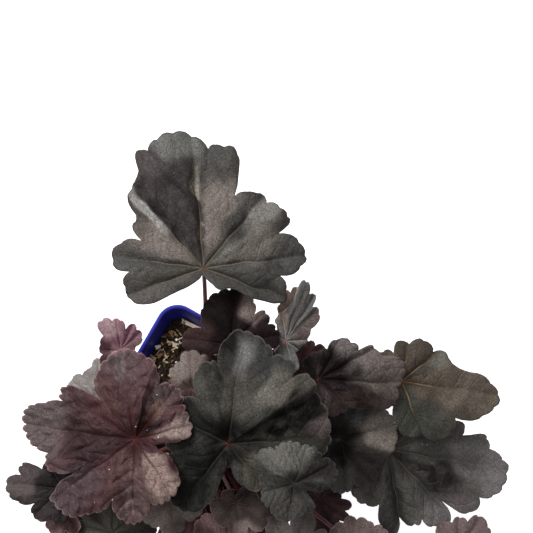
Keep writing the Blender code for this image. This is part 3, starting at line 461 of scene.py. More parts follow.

# Areas of a blade that differ from its ground: the leaf's own colour zones together with painted light,
# that is painted sheen and highlights where lobes face the light, painted shade in pockets and between
# lobes, and painted shadow under lobes that overlap. Each is angle, half width, from and to as shares of
# the leaf's longest reach, colour, strength
TINTS_AND_PAINTED_LIGHT = {
    # leaf_top: painted sheen on facets that face the light and on the lit side of the midrib, painted shade
    # on the dark panel near the hub and in the slit beside the rolled fold, with the leaf's own mauve and
    # grey tints
    "leaf_top": [
        (104, 14, 0.78, 1.2, (0.13, 0.13, 0.12), 0.8), (82, 10, 0.7, 1.2, (0.06, 0.06, 0.054), 0.6),
        (122, 10, 0.65, 1.2, (0.058, 0.046, 0.044), 0.8), (113, 17, 0.1, 0.78, (0.034, 0.026, 0.025), 0.9),
        (76, 16, 0.12, 0.62, (0.165, 0.135, 0.122), 0.85), (94, 2.5, 0.25, 0.68, (0.21, 0.19, 0.15), 0.7),
        (99, 3, 0.1, 0.6, (0.02, 0.013, 0.013), 0.7), (43, 9, 0.45, 0.9, (0.16, 0.15, 0.135), 0.8),
        (31, 6, 0.5, 1.0, (0.028, 0.025, 0.023), 0.8), (22, 15, 0.05, 0.6, (0.13, 0.115, 0.1), 0.75),
        (3, 14, 0.55, 1.0, (0.055, 0.055, 0.052), 0.8), (-30, 22, 0.1, 0.85, (0.05, 0.049, 0.044), 0.8),
        (152, 16, 0.05, 0.58, (0.16, 0.132, 0.118), 0.85), (136, 3, 0.38, 0.85, (0.24, 0.235, 0.22), 0.8),
        (128, 3, 0.25, 0.8, (0.012, 0.008, 0.008), 0.8), (176, 12, 0.3, 0.8, (0.072, 0.07, 0.064), 0.6),
        (200, 15, 0.1, 0.7, (0.095, 0.08, 0.071), 0.6),
    ],
    # leaf_plum: its own grey, plum and tan zones, with painted highlight on the pale lobes and painted shade
    # in the dark red pocket by the hub between the right lobes
    "leaf_plum": [
        (172, 20, 0.62, 1.2, (0.125, 0.112, 0.11), 0.8), (180, 28, 0.08, 0.55, (0.042, 0.022, 0.024), 0.85),
        (146, 12, 0.3, 0.9, (0.085, 0.052, 0.054), 0.6), (125, 10, 0.2, 0.6, (0.115, 0.07, 0.058), 0.6),
        (100, 14, 0.3, 0.85, (0.115, 0.088, 0.092), 0.75), (102, 4, 0.45, 0.8, (0.15, 0.14, 0.14), 0.5),
        (75, 10, 0.3, 0.75, (0.11, 0.068, 0.073), 0.6), (55, 14, 0.3, 0.7, (0.085, 0.072, 0.07), 0.7),
        (125, 40, 0.12, 0.5, (0.09, 0.038, 0.038), 0.6), (52, 7, 0.2, 0.42, (0.17, 0.115, 0.09), 0.7),
        (14, 12, 0.16, 0.75, (0.25, 0.215, 0.19), 0.85), (348, 9, 0.0, 0.5, (0.065, 0.02, 0.024), 0.85),
        (306, 17, 0.12, 0.75, (0.26, 0.215, 0.185), 0.85), (285, 7, 0.15, 0.65, (0.13, 0.092, 0.075), 0.6),
        (269, 12, 0.3, 0.9, (0.12, 0.088, 0.088), 0.7), (264, 4, 0.05, 0.65, (0.19, 0.15, 0.13), 0.5),
        (243, 15, 0.08, 0.52, (0.095, 0.052, 0.047), 0.7), (218, 15, 0.42, 1.0, (0.09, 0.07, 0.08), 0.8),
        (0, 200, 0.0, 0.1, (0.03, 0.003, 0.003), 0.92), (52, 27, 0.0, 0.24, (0.02, 0.002, 0.002), 0.97),
    ],
    # leaf_centre: painted sheen on the domed upper lobe, painted shadow in the band below its edge at about
    # 22 degrees, painted shade round the hub and on the low lobes, over the leaf's own grey-green
    "leaf_centre": [
        (81, 6, 0.62, 0.95, (0.13, 0.135, 0.14), 0.8), (62, 14, 0.6, 1.0, (0.038, 0.042, 0.045), 0.7),
        (85, 42, 0.22, 0.6, (0.07, 0.069, 0.062), 0.7), (104, 7, 0.1, 0.8, (0.016, 0.016, 0.014), 0.7),
        (48, 10, 0.45, 0.82, (0.12, 0.118, 0.105), 0.75), (152, 26, 0.15, 0.7, (0.013, 0.015, 0.012), 0.85),
        (120, 10, 0.25, 0.75, (0.048, 0.05, 0.046), 0.5), (22, 11, 0.06, 0.88, (0.002, 0.002, 0.001), 0.97),
        (3, 8, 0.3, 0.8, (0.04, 0.041, 0.034), 0.7), (12, 6, 0.74, 1.2, (0.1, 0.08, 0.086), 0.8),
        (38, 5, 0.78, 1.2, (0.07, 0.07, 0.062), 0.7), (-45, 20, 0.18, 0.55, (0.07, 0.07, 0.058), 0.7),
        (230, 32, 0.15, 1.2, (0.007, 0.008, 0.007), 0.92), (186, 22, 0.2, 0.85, (0.011, 0.012, 0.011), 0.85),
        (0, 200, 0.0, 0.18, (0.003, 0.002, 0.001), 0.92),
    ],
    "leaf_bronze": [
        (78, 22, 0.08, 0.6, (0.058, 0.045, 0.034), 0.8), (26, 10, 0.36, 0.6, (0.11, 0.112, 0.098), 0.7),
        (-5, 22, 0.35, 1.2, (0.115, 0.092, 0.073), 0.8), (4, 14, 0.05, 0.4, (0.095, 0.072, 0.05), 0.6),
        (-72, 34, 0.1, 0.9, (0.038, 0.041, 0.034), 0.88), (-42, 10, 0.45, 0.9, (0.06, 0.056, 0.046), 0.6),
    ],
    # leaf_right: painted sheen at its tip and lobe ends, painted shade in the dark wedge of the valley by the
    # hub at about -31 degrees
    "leaf_right": [
        (8, 20, 0.1, 0.85, (0.052, 0.052, 0.045), 0.8), (-8, 14, 0.5, 0.95, (0.11, 0.102, 0.098), 0.75),
        (-14, 13, 0.8, 1.2, (0.13, 0.114, 0.117), 0.8), (-31, 13, 0.06, 0.66, (0.008, 0.006, 0.005), 0.94),
        (-37, 8, 0.6, 0.95, (0.09, 0.076, 0.072), 0.7), (-62, 14, 0.15, 0.9, (0.042, 0.042, 0.037), 0.8),
        (-88, 12, 0.15, 0.9, (0.016, 0.016, 0.013), 0.8), (-58, 13, 0.55, 0.9, (0.12, 0.108, 0.108), 0.6),
    ],
    # leaf_shade: paler lit lobes, and painted shade in the pit round the hub and on the low lobes
    "leaf_shade": [
        (79, 15, 0.45, 1.2, (0.13, 0.118, 0.115), 0.85), (52, 14, 0.35, 1.0, (0.105, 0.092, 0.088), 0.8),
        (32, 12, 0.42, 1.2, (0.12, 0.105, 0.098), 0.8), (10, 14, 0.48, 1.2, (0.12, 0.1, 0.092), 0.8),
        (-6, 9, 0.35, 1.0, (0.105, 0.085, 0.074), 0.6), (-25, 14, 0.15, 0.8, (0.016, 0.007, 0.006), 0.85),
        (-50, 14, 0.3, 0.9, (0.04, 0.024, 0.02), 0.8), (15, 60, 0.0, 0.34, (0.009, 0.003, 0.003), 0.95),
    ],
    # leaf_inner: a paler lit upper lobe, and painted shade round the hub and on the lobes that the leaves
    # beside it shade
    "leaf_inner": [
        (11, 25, 0.42, 1.2, (0.125, 0.108, 0.092), 0.9), (62, 20, 0.35, 1.2, (0.044, 0.048, 0.046), 0.8),
        (0, 200, 0.0, 0.3, (0.004, 0.003, 0.003), 0.95), (-28, 15, 0.35, 1.2, (0.02, 0.014, 0.012), 0.85),
        (-56, 10, 0.5, 1.2, (0.028, 0.017, 0.017), 0.7), (-84, 18, 0.45, 1.2, (0.062, 0.061, 0.055), 0.85),
    ],
    # leaf_small: upper lobes painted paler as lit, painted shade on the right lobes and round the hub
    "leaf_small": [
        (98, 36, 0.28, 1.2, (0.135, 0.13, 0.112), 0.85), (135, 12, 0.2, 1.0, (0.15, 0.15, 0.135), 0.5),
        (195, 26, 0.2, 1.2, (0.066, 0.064, 0.056), 0.7), (262, 24, 0.2, 1.2, (0.052, 0.046, 0.042), 0.7),
        (32, 17, 0.15, 1.2, (0.02, 0.014, 0.014), 0.9), (-20, 20, 0.1, 1.2, (0.009, 0.006, 0.006), 0.9),
        (0, 200, 0.0, 0.22, (0.012, 0.01, 0.008), 0.85), (165, 12, 0.25, 1.2, (0.03, 0.029, 0.025), 0.7),
    ],
    # leaf_pink: a light pink top, and painted shade on the shadow side of its fold at the lower left
    "leaf_pink": [
        (118, 24, 0.45, 1.2, (0.17, 0.115, 0.125), 0.85), (64, 22, 0.15, 1.2, (0.095, 0.048, 0.062), 0.85),
        (200, 62, 0.25, 1.2, (0.028, 0.01, 0.013), 0.9), (0, 40, 0.1, 1.2, (0.05, 0.022, 0.028), 0.8),
    ],
    "leaf_young": [
        (122, 30, 0.34, 1.2, (0.24, 0.195, 0.175), 0.8), (0, 200, 0.0, 0.3, (0.06, 0.03, 0.026), 0.8),
        (80, 12, 0.3, 1.2, (0.19, 0.15, 0.13), 0.6), (40, 25, 0.2, 1.2, (0.075, 0.05, 0.042), 0.8),
        (-100, 55, 0.3, 1.2, (0.1, 0.075, 0.068), 0.6),
    ],
    "leaf_left": [
        (165, 25, 0.5, 1.2, (0.12, 0.095, 0.09), 0.7), (100, 32, 0.1, 1.2, (0.012, 0.007, 0.007), 0.85),
        (230, 30, 0.2, 1.2, (0.045, 0.035, 0.033), 0.7), (0, 200, 0.0, 0.3, (0.01, 0.006, 0.006), 0.8),
    ],
    "leaf_core": [
        (290, 22, 0.5, 1.2, (0.11, 0.085, 0.078), 0.7), (200, 25, 0.4, 1.2, (0.05, 0.04, 0.036), 0.6),
    ],
    "leaf_folded": [
        (93, 14, 0.2, 1.2, (0.17, 0.13, 0.105), 0.8), (75, 4, 0.45, 1.2, (0.27, 0.28, 0.27), 0.6),
        (66, 5, 0.3, 1.2, (0.085, 0.078, 0.072), 0.7), (52, 8, 0.3, 1.2, (0.16, 0.16, 0.152), 0.6),
        (20, 24, 0.15, 1.2, (0.1, 0.068, 0.062), 0.8), (-82, 30, 0.15, 1.2, (0.13, 0.14, 0.135), 0.8),
    ],
    "leaf_grey": [
        (235, 25, 0.4, 1.2, (0.12, 0.1, 0.09), 0.6), (130, 40, 0.0, 0.5, (0.04, 0.03, 0.025), 0.7),
    ],
    # leaf_dark: painted highlight on its upper right lobes over its own near-black maroon
    "leaf_dark": [
        (62, 20, 0.5, 1.2, (0.125, 0.098, 0.09), 0.85), (104, 28, 0.1, 1.2, (0.006, 0.003, 0.003), 0.92),
        (160, 24, 0.4, 1.2, (0.04, 0.022, 0.021), 0.7), (0, 30, 0.1, 1.2, (0.018, 0.01, 0.01), 0.7),
    ],
}

STALK_RED = (0.105, 0.022, 0.030)
UNDER_TINT = (0.13, 0.060, 0.070)
# CONTRAST also deepens the painted shade and brightens the painted sheen and highlights that the washes lay
# on the blades
CONTRAST = 0.28  # how much light parts of a blade are lightened and dark ones darkened


def own(item, key, default):
    """What OWN says of a leaf, or the default."""
    return OWN.get(item["name"], {}).get(key, default)


def linked(name, data):
    """A new object of the scene, of the data given."""
    made = bpy.data.objects.new(name, data)
    bpy.context.scene.collection.objects.link(made)
    return made


def bmesh_object(name, bm):
    """The object of a finished bmesh."""
    mesh = bpy.data.meshes.new(name)
    bm.to_mesh(mesh)
    bm.free()
    return linked(name, mesh)


def shell(rings):
    """A bmesh round rings of points in mm, all of one count, with a face over each end."""
    bm = bmesh.new()
    made = [[bm.verts.new(p * MM) for p in ring] for ring in rings]
    for lower, upper in zip(made, made[1:]):
        for k in range(len(lower)):
            e = (k + 1) % len(lower)
            bm.faces.new((lower[k], lower[e], upper[e], upper[k]))
    bm.faces.new(list(reversed(made[0])))
    bm.faces.new(made[-1])
    return bm


def swell(x, y, size, seed, waves=6):
    """Smooth irregular waves of about the given size over arrays of plan positions, from -1 to 1."""
    draw = random.Random(seed)
    total = np.zeros_like(x)
    for _ in range(waves):
        heading = draw.uniform(0, 2 * math.pi)
        pitch = 2 * math.pi / (size * draw.uniform(0.7, 1.5))
        phase = draw.uniform(0, 2 * math.pi)
        total += np.sin((x * math.cos(heading) + y * math.sin(heading)) * pitch + phase)
    return total / waves * 1.6


def smooth_step(value, low, high):
    at = np.clip((value - low) / (high - low), 0.0, 1.0)
    return at * at * (3.0 - 2.0 * at)


def blade_columns(item):
    """Columns of the fine blade, anticlockwise from the sinus.

    Each is angle, reach, crest, vein angle, lift, shelf, tooth, and how far it is from a lobe's tip.
    """
    edge = item["edge"]
    pitch, bite = own(item, "scallops", SCALLOPS)
    draw = random.Random(item["name"])
    rows = []
    half_gap = max(4, round((edge[0][0] + 360.0 - edge[-1][0]) / 10.0))
    sinus = sinus_angle(item)
    for k in range(half_gap):
        rows.append((sinus + (edge[0][0] - sinus) * k / half_gap, 0.0, 0.0, 0.0))
    for i in range(1, len(edge), 2):
        start, tip, end = edge[i - 1][0], edge[i], edge[i + 1][0]
        teeth = max(1, round(math.radians(end - start) * tip[1] / pitch))
        depth = min(bite, tip[1] * 0.06)
        stops = [0.0]
        for _ in range(teeth):
            stops.append(stops[-1] + draw.uniform(0.75, 1.25))
        stops = [start + (end - start) * stop / stops[-1] for stop in stops]
        depths = [depth * draw.uniform(0.7, 1.2) for _ in range(teeth)]
        lift = item["lifts"].get(i // 2, 0.0)
        for t in range(teeth):
            for k in range(TOOTH_COLUMNS):
                share = k / TOOTH_COLUMNS
                degrees = stops[t] + (stops[t + 1] - stops[t]) * share
                swelling = math.sin(math.pi * share) ** 0.7
                extra = depths[t] * (swelling - 0.5) + 0.10 * math.sin(share * 19.0 + t)
                rows.append((degrees, extra, swelling, lift))
    for k in range(half_gap + 1):
        degrees = edge[-1][0] + (sinus + 360.0 - edge[-1][0]) * k / (half_gap + 1)
        rows.append((degrees, 0.0, 0.0, 0.0))
    columns = []
    for degrees, extra, swelling, lift in rows:
        reach, between = smooth_reach(item, degrees)
        crest, vein = fold(item, degrees)
        tip_lift = lift * (1.0 - between)
        shelf = shelf_rise(item, degrees)
        columns.append((degrees, reach + extra, crest, vein, tip_lift, shelf, swelling, between))
    return columns


def blade_arrays(item):
    """The fine blade's grid: positions in the plan and what its material needs to know at each point."""
    span = max(point[1] for point in item["edge"])
    rows = LARGE_ROWS if span > LARGE_SPAN else SMALL_ROWS
    share = np.linspace(1.0 / rows, 1.0, rows)[:, None] ** 0.9
    columns = [np.array(part)[None, :] for part in zip(*blade_columns(item))]
    degrees, reach, crest, vein, lift, shelf, tooth, between = columns
    angle = np.radians(degrees)
    scale = min(1.0, max(0.4, span / FULL_SPAN))
    length = HUB_RADIUS * 0.3 + (reach - HUB_RADIUS * 0.3) * share
    x = length * np.cos(angle)
    y = length * np.sin(angle)
    out = length / span
    off = angle - np.radians(vein)
    off = (off + math.pi) % (2 * math.pi) - math.pi
    across = np.abs(np.sin(off)) * length
    along = np.cos(off) * length
    margin = reach - length
    seed = noise.noise(item["hub"]) * 40.0
    ripple = np.array([noise.noise(in_plan(d, 2.2) + Vector((seed, 0.0, 0.0))) for d in degrees[0]])[None, :]
    full = np.sin(math.pi / 2 * np.minimum(1.0, out / 0.75))
    z = x * item["slope"][0] + y * item["slope"][1] - item["dome"] * out * out
    z += item["pleat"] * np.sin(math.pi / 2 * crest) ** 0.8 * full
    shelves = shelf * np.sin(math.pi / 2 * np.minimum(1.0, out / 0.5))
    z += shelves - item["dip"] * np.exp(-((length / DIP_WIDTH) ** 2))
    z += lift * share**2 + item["wave"] * RIPPLE_HEIGHT * ripple * out * out

    quilt = QUILT_DEPTH * own(item, "rugged", 1.0) * scale
    crease = own(item, "crease", 0.6) * scale
    wander = swell(x, y, 22.0, item["name"] + "rib") * 0.25 + np.sign(off) * 0.25
    rib = (along - RIB_SLANT * across) / (RIB_SPACING * scale) + wander
    to_rib = np.abs(rib % 1.0 - 0.5) * RIB_SPACING * scale
    inside = smooth_step(across, 0.6 * scale, 3.0 * scale) * (1.0 - smooth_step(crest, 0.9, 1.0))
    z -= crease * np.exp(-((across / (1.1 * scale)) ** 2)) * (1.0 - 0.6 * out)
    z -= quilt * np.exp(-((to_rib / (1.0 * scale)) ** 2)) * inside
    z += quilt * swell(x, y, 6.0 * scale, item["name"] + "quilt") * smooth_step(out, 0.1, 0.4)
    z += item["wave"] * 0.8 * swell(x, y, 17.0, item["name"] + "swell") * smooth_step(out, 0.1, 0.6)
    scallops = 0.6 * scale * (tooth - 0.5) * smooth_step(out, 0.6, 1.0)
    z += scallops - 0.5 * scale * np.exp(-margin / (1.2 * scale))
    z -= 0.5 * scale * np.exp(-(((1.0 - between) / 0.12) ** 2)) * smooth_step(out, 0.45, 0.9)
    x = x + STRAY * scale * swell(x, y, 16.0, item["name"] + "x") * smooth_step(out, 0.05, 0.4)
    y = y + STRAY * scale * swell(x, y, 16.0, item["name"] + "y") * smooth_step(out, 0.05, 0.4)

    hub = item["hub"]
    points = np.stack([x + hub.x, y + hub.y, z + hub.z], axis=-1)
    known = {
        "across": across,
        "rib": rib,
        "between": crest + 0 * share,
        "out": out,
        "from_hub": length,
        "margin": margin,
    }
    return points, known, tint_and_painted_light_grid(item, degrees, out, x, y), scale


def tint_and_painted_light_grid(item, degrees, out, x, y):
    """The colour and strength that the leaf's zones of tint and of painted light and shade give at each point
    of its grid.
    """
    tint_and_painted_light = np.zeros(x.shape + (4,))
    for turn, width, near, far, colour, strength in TINTS_AND_PAINTED_LIGHT.get(item["name"], []):
        aside = np.abs((degrees - turn + 180.0) % 360.0 - 180.0)
        stray = 2.5 * swell(x, y, 14.0, f"{turn}") / np.maximum(0.25, out)
        soft = 0.35 * width
        mask = 1.0 - smooth_step(aside + stray, width - soft, width + soft)
        edge_stray = 0.03 * swell(x, y, 12.0, f"{turn}far")
        mask = mask * smooth_step(out + edge_stray, near - 0.08, near + 0.08)
        mask = mask * (1.0 - smooth_step(out + edge_stray, far - 0.1, far + 0.1))
        mask = (mask * strength)[..., None]
        tint_and_painted_light[..., :3] = tint_and_painted_light[..., :3] * (1.0 - mask) + np.array(colour) * mask
        tint_and_painted_light[..., 3:] = tint_and_painted_light[..., 3:] * (1.0 - mask) + mask
    tint_and_painted_light[..., :3] *= own(item, "tone", 1.0) / np.maximum(tint_and_painted_light[..., 3:], 1e-4)
    return tint_and_painted_light


def blade_faces(rows, count):
    """Faces of both skins and the rim between them, each with the number of its material."""
    under = rows * count + 1
    ring = np.arange(count)
    ahead = (ring + 1) % count
    quads = []
    kinds = []
    for start in range(0, (rows - 1) * count, count):
        upper = np.stack([start + ring, start + count + ring, start + count + ahead, start + ahead], axis=1)
        quads += [upper, upper[:, ::-1] + under]
        kinds += [0] * count + [1] * count
    outer = (rows - 1) * count
    quads.append(np.stack([outer + ring, under + outer + ring, under + outer + ahead, outer + ahead], axis=1))
    kinds += [0] * count
    faces = [tuple(quad) for quad in np.concatenate(quads).tolist()]
    for k in range(count):
        e = (k + 1) % count
        faces += [(under - 1, k, e), (2 * under - 1, under + e, under + k)]
        kinds += [0, 1]
    return faces, kinds


def store(mesh, name, kind, field, values):
    attribute = mesh.attributes.new(name, kind, "POINT")
    attribute.data.foreach_set(field, values.astype(np.float32).reshape(-1))


def fine_leaf(item):
    """The leaf as one fine mesh: blade with both faces, rim, and the stalk rising into its hub."""
    points, known, tint_and_painted_light, scale = blade_arrays(item)
    rows, count, _ = points.shape
    skin = np.concatenate([points.reshape(-1, 3), [hub_point(item)]])
    half = np.array([0.0, 0.0, SKIN / 2])
    faces, kinds = blade_faces(rows, count)
    tube, tube_faces = stalk_tube(item, 2 * len(skin))
    verts = np.concatenate([skin + half, skin - half, tube])
    name = item["name"] + "_fine"
    mesh = bpy.data.meshes.new(name)
    turn = np.array(Matrix.Rotation(PLANT_TURN, 3, "Z"))
    mesh.from_pydata((verts @ turn.T * MM).tolist(), [], faces + tube_faces)
    mesh.polygons.foreach_set("material_index", kinds + [2] * len(tube_faces))
    mesh.shade_smooth()
    for key, grid in known.items():
        flat = grid.reshape(-1)
        side = np.append(flat, flat[:count].mean())
        store(mesh, key, "FLOAT", "value", np.concatenate([side, side, np.zeros(len(tube))]))
    flat = tint_and_painted_light.reshape(-1, 4)
    side = np.concatenate([flat, flat[:1]])
    store(mesh, "tint_and_painted_light", "FLOAT_COLOR", "color", np.concatenate([side, side, np.zeros((len(tube), 4))]))
    mesh.update()
    look = LOOKS[item["colour"]] | OWN.get(item["name"], {})
    for part in LOOKS[item["colour"]]:
        look[part] = tuple(np.array(look[part]) * look.get("tone", 1.0))
    mesh.materials.append(blade_material(item["name"], look, scale, under=False))
    mesh.materials.append(blade_material(item["name"], look, scale, under=True))
    mesh.materials.append(stalk_material())
    return linked(name, mesh)


def stalk_tube(item, first):
    """Points and faces of the fine stalk, from inside the hub to the crown."""
    curve = stalk_curve(item)
    size = min(1.0, 0.75 + 0.25 * max(point[1] for point in item["edge"]) / 40.0)
    length = (curve[0] - curve[3]).length
    side = None
    verts = []
    for k in range(TUBE_STEPS + 1):
        share = 0.15 / length + (1.0 - 0.15 / length) * (k / TUBE_STEPS) ** 1.25
        centre = bezier(curve, share)
        ahead = bezier(curve, min(1.0, share + 0.01)) - bezier(curve, max(0.0, share - 0.01))
        along = ahead.normalized()
        if side is None:
            side = along.cross(Vector((0.0, 0.0, 1.0)))
        side = (side - along * side.dot(along)).normalized()
        up = side.cross(along)
        radius = size * (STALK_TOP + (STALK_BASE - STALK_TOP) * share**2)
        if k == 0:
            radius *= 0.45
        for s in range(TUBE_SIDES):
            turn = 2 * math.pi * s / TUBE_SIDES
            flute = radius * (1.0 + 0.05 * math.cos(3 * turn))
            verts.append(centre + side * math.cos(turn) * flute + up * math.sin(turn) * flute)
    faces = []
    for k in range(TUBE_STEPS):
        for s in range(TUBE_SIDES):
            e = (s + 1) % TUBE_SIDES
            a, b = first + k * TUBE_SIDES, first + (k + 1) * TUBE_SIDES
            faces.append((a + s, b + s, b + e, a + e))
    faces.append(tuple(first + s for s in range(TUBE_SIDES)))
    faces.append(tuple(first + TUBE_STEPS * TUBE_SIDES + s for s in reversed(range(TUBE_SIDES))))
    return np.array([tuple(v) for v in verts]), faces


class Shader:
    """A material's node tree, with short calls for the nodes that the surfaces here use."""

    def __init__(self, name):
        self.material = bpy.data.materials.new(name)
        self.material.use_nodes = True
        self.tree = self.material.node_tree
        self.surface = self.tree.nodes["Principled BSDF"]
        self.place = self.tree.nodes.new("ShaderNodeTexCoord").outputs["Object"]

    def node(self, kind, inputs=None, **settings):
        made = self.tree.nodes.new(kind)
        for key, value in settings.items():
            setattr(made, key, value)
        for key, value in (inputs or {}).items():
            self.put(made.inputs[key], value)
        return made

    def put(self, socket, value):
        if isinstance(value, bpy.types.NodeSocket):
            self.tree.links.new(value, socket)
        elif isinstance(value, tuple) and len(value) == 3 and socket.type == "RGBA":
            socket.default_value = (*value, 1.0)
        else:
            socket.default_value = value

    def math(self, operation, a, b=0.0, c=0.0):
        return self.node("ShaderNodeMath", {0: a, 1: b, 2: c}, operation=operation).outputs[0]

    def times(self, first, *others):
        for other in others:
            first = self.math("MULTIPLY", first, other)
        return first

    def span(self, value, low, high, start=0.0, end=1.0):
        """A smooth step from start to end while the value goes from low to high."""
        inputs = {"Value": value, "From Min": low, "From Max": high, "To Min": start, "To Max": end}
        return self.node("ShaderNodeMapRange", inputs, interpolation_type="SMOOTHSTEP").outputs["Result"]

    def known(self, name):
        return self.node("ShaderNodeAttribute", attribute_name=name).outputs["Fac"]

    def noise(self, scale, detail=3.0, roughness=0.55):
        inputs = {"Vector": self.place, "Scale": scale, "Detail": detail, "Roughness": roughness}
        return self.node("ShaderNodeTexNoise", inputs).outputs["Fac"]

    def cells(self, scale, feature="F1"):
        inputs = {"Vector": self.place, "Scale": scale}
        return self.node("ShaderNodeTexVoronoi", inputs, feature=feature).outputs["Distance"]

    def mix(self, share, a, b, blend="MIX"):
        made = self.node("ShaderNodeMix", data_type="RGBA", blend_type=blend)
        self.put(made.inputs[0], share)
        self.put(made.inputs[6], a)
        self.put(made.inputs[7], b)
        return made.outputs[2]

    def lay(self, colour, over, *shares):
        """The colour with another laid over it, as strongly as the product of the shares."""
        return self.mix(self.times(*shares), colour, over)

    def speckle(self, colour, grain, strength, dark, light):
        """The colour made darker and lighter by a grain, between two greys."""
        greys = self.mix(self.span(grain, 0.3, 0.7), (dark,) * 3, (light,) * 3)
        return self.mix(strength, colour, greys, "OVERLAY")

    def bump(self, height, distance, strength=1.0):
        made = self.node("ShaderNodeBump", {"Height": height, "Distance": distance, "Strength": strength})
        self.put(self.surface.inputs["Normal"], made.outputs["Normal"])

    def finish(self, colour, roughness, specular=0.5, sheen=0.0):
        self.put(self.surface.inputs["Base Color"], colour)
        self.put(self.surface.inputs["Roughness"], roughness)
        self.put(self.surface.inputs["Specular IOR Level"], specular)
        self.put(self.surface.inputs["Sheen Weight"], sheen)
        return self.material


def blade_material(name, look, scale, under):
    """Leaf skin: ground and patches, tints with painted light and shade, main veins, ribs, a fine net, the
    edge and the hub.
    """
    s = Shader(name + ("_under" if under else "_skin"))
    across = s.known("across")
    out = s.known("out")
    between = s.known("between")

    fine = s.noise(1400.0, 4.0, 0.7)
    colour = s.lay(look["deep"], look["ground"], s.span(s.noise(60.0, 2.0), 0.30, 0.60))
    # The leaf's zones of own tint and of painted sheen, highlight, shade and shadow, laid over the ground
    tint_and_painted_light = s.node("ShaderNodeAttribute", attribute_name="tint_and_painted_light")
    colour = s.lay(colour, tint_and_painted_light.outputs["Color"], tint_and_painted_light.outputs["Alpha"])
    inner = s.times(s.span(between, 0.05, 0.45), s.span(out, 0.62, 0.95, 1.0, 0.0))
    cloud = s.span(s.noise(160.0, 3.0), 0.42, 0.66)
    colour = s.lay(colour, s.lay(colour, look["patch"], 0.5), inner, cloud, look.get("patchy", 0.16))
    colour = s.speckle(colour, fine, 0.6, 0.24, 0.78)

    to_rib = s.math("ABSOLUTE", s.math("SUBTRACT", s.math("FRACT", s.known("rib")), 0.5))
    rib = s.times(s.span(s.times(to_rib, RIB_SPACING * scale), 0.08 * scale, 0.50 * scale, 1.0, 0.0),
                  s.span(across, 0.3 * scale, 1.2 * scale), s.span(between, 0.75, 1.0, 1.0, 0.0))
    main_width = s.span(out, 0.0, 0.8, look.get("vein_width", 0.62) * scale, 0.20 * scale)
    main = s.times(s.span(s.math("DIVIDE", across, main_width), 0.35, 1.15, 1.0, 0.0),
                   s.span(out, 0.15, look.get("vein_reach", 0.65), 1.0, 0.0))
    net = s.span(s.cells(430.0 / scale, "DISTANCE_TO_EDGE"), 0.02, 0.12, 1.0, 0.0)
    vein = s.lay(colour, look["vein"], 0.5)
    colour = s.lay(colour, look["deep"], net, look.get("nets", 0.15))
    colour = s.lay(colour, vein, rib, look.get("ribs", 0.2))
    colour = s.lay(colour, look["vein"], main, look.get("veins", 0.4))
    frayed = s.math("MULTIPLY_ADD", s.noise(500.0), 0.8 * scale, s.known("margin"))
    edge = s.span(frayed, 0.45 * scale, 1.5 * scale, 1.0, 0.0)
    colour = s.lay(colour, look["rim"], edge, s.span(out, 0.25, 0.45), look.get("rims", 0.55))
    hub_size = look.get("hub_size", 1.0) * scale
    colour = s.lay(colour, look["hub"], s.span(s.known("from_hub"), 0.6 * hub_size, 2.4 * hub_size, 0.8, 0.0))
    if look.get("specks", 0.0) > 0.0:
        dot = s.span(s.cells(330.0), 0.06, 0.10, look["specks"], 0.0)
        rare = s.span(s.noise(45.0, 1.0), 0.56, 0.60)
        colour = s.lay(colour, (0.75, 0.72, 0.70), dot, rare)
    # Steepens the colour about the ground's lightness, which deepens the painted shade and brightens the
    # painted sheen and highlights
    light = s.node("ShaderNodeRGBToBW", {0: colour}).outputs[0]
    middle = sum(look["ground"]) / 3
    contrast = s.math("POWER", s.math("DIVIDE", light, middle), CONTRAST)
    colour = s.mix(1.0, colour, contrast, "MULTIPLY")
    if under:
        colour = s.lay(colour, UNDER_TINT, 0.55)

    height = s.times(main, (1.3 if under else -1.3) * look.get("crease", 0.6))
    for relief, depth in ((rib, 0.5), (net, 0.40)):
        height = s.math("MULTIPLY_ADD", relief, depth if under else -depth, height)
    s.bump(s.math("MULTIPLY_ADD", fine, 0.7, height), 0.0004, 0.8)
    gloss = look.get("gloss", 0.42)
    rough = s.span(s.noise(260.0, 3.0), 0.3, 0.7, gloss, gloss + 0.16)
    return s.finish(colour, rough, look.get("shine", 0.20), 0.02)


def stalk_material():
    """Reddish skin, the same for all stalks."""
    found = bpy.data.materials.get("stalk_skin")
    if found:
        return found
    s = Shader("stalk_skin")
    colour = s.lay(STALK_RED, (0.14, 0.045, 0.045), s.span(s.noise(180.0, 4.0), 0.35, 0.7))
    s.bump(s.noise(1400.0, 3.0), 0.0002, 0.5)
    return s.finish(colour, 0.45, 0.35, 0.05)


def square_ring(half, corner, height, corner_steps=12, side_steps=1):
    """Points of a square with rounded corners, anticlockwise, with each side cut into side_steps."""
    ring = []
    for quarter in range(4):
        middle = 45.0 + 90.0 * quarter
        centre = in_plan(middle, (half - corner) * math.sqrt(2.0))
        following = in_plan(middle + 90.0, (half - corner) * math.sqrt(2.0))
        for k in range(corner_steps + 1):
            ring.append(centre + in_plan(middle - 45.0 + 90.0 * k / corner_steps, corner))
        for k in range(1, side_steps):
            ring.append(centre.lerp(following, k / side_steps) + in_plan(middle + 45.0, corner))
    return [Vector((at.x, at.y, height)) for at in ring]


def body_half(height):
    return (BASE_SIDE + (BODY_SIDE - BASE_SIDE) * height / POT_HEIGHT) / 2


def body_corner(height):
    return BASE_CORNER + (RIM_CORNER - 2.0 - BASE_CORNER) * height / POT_HEIGHT


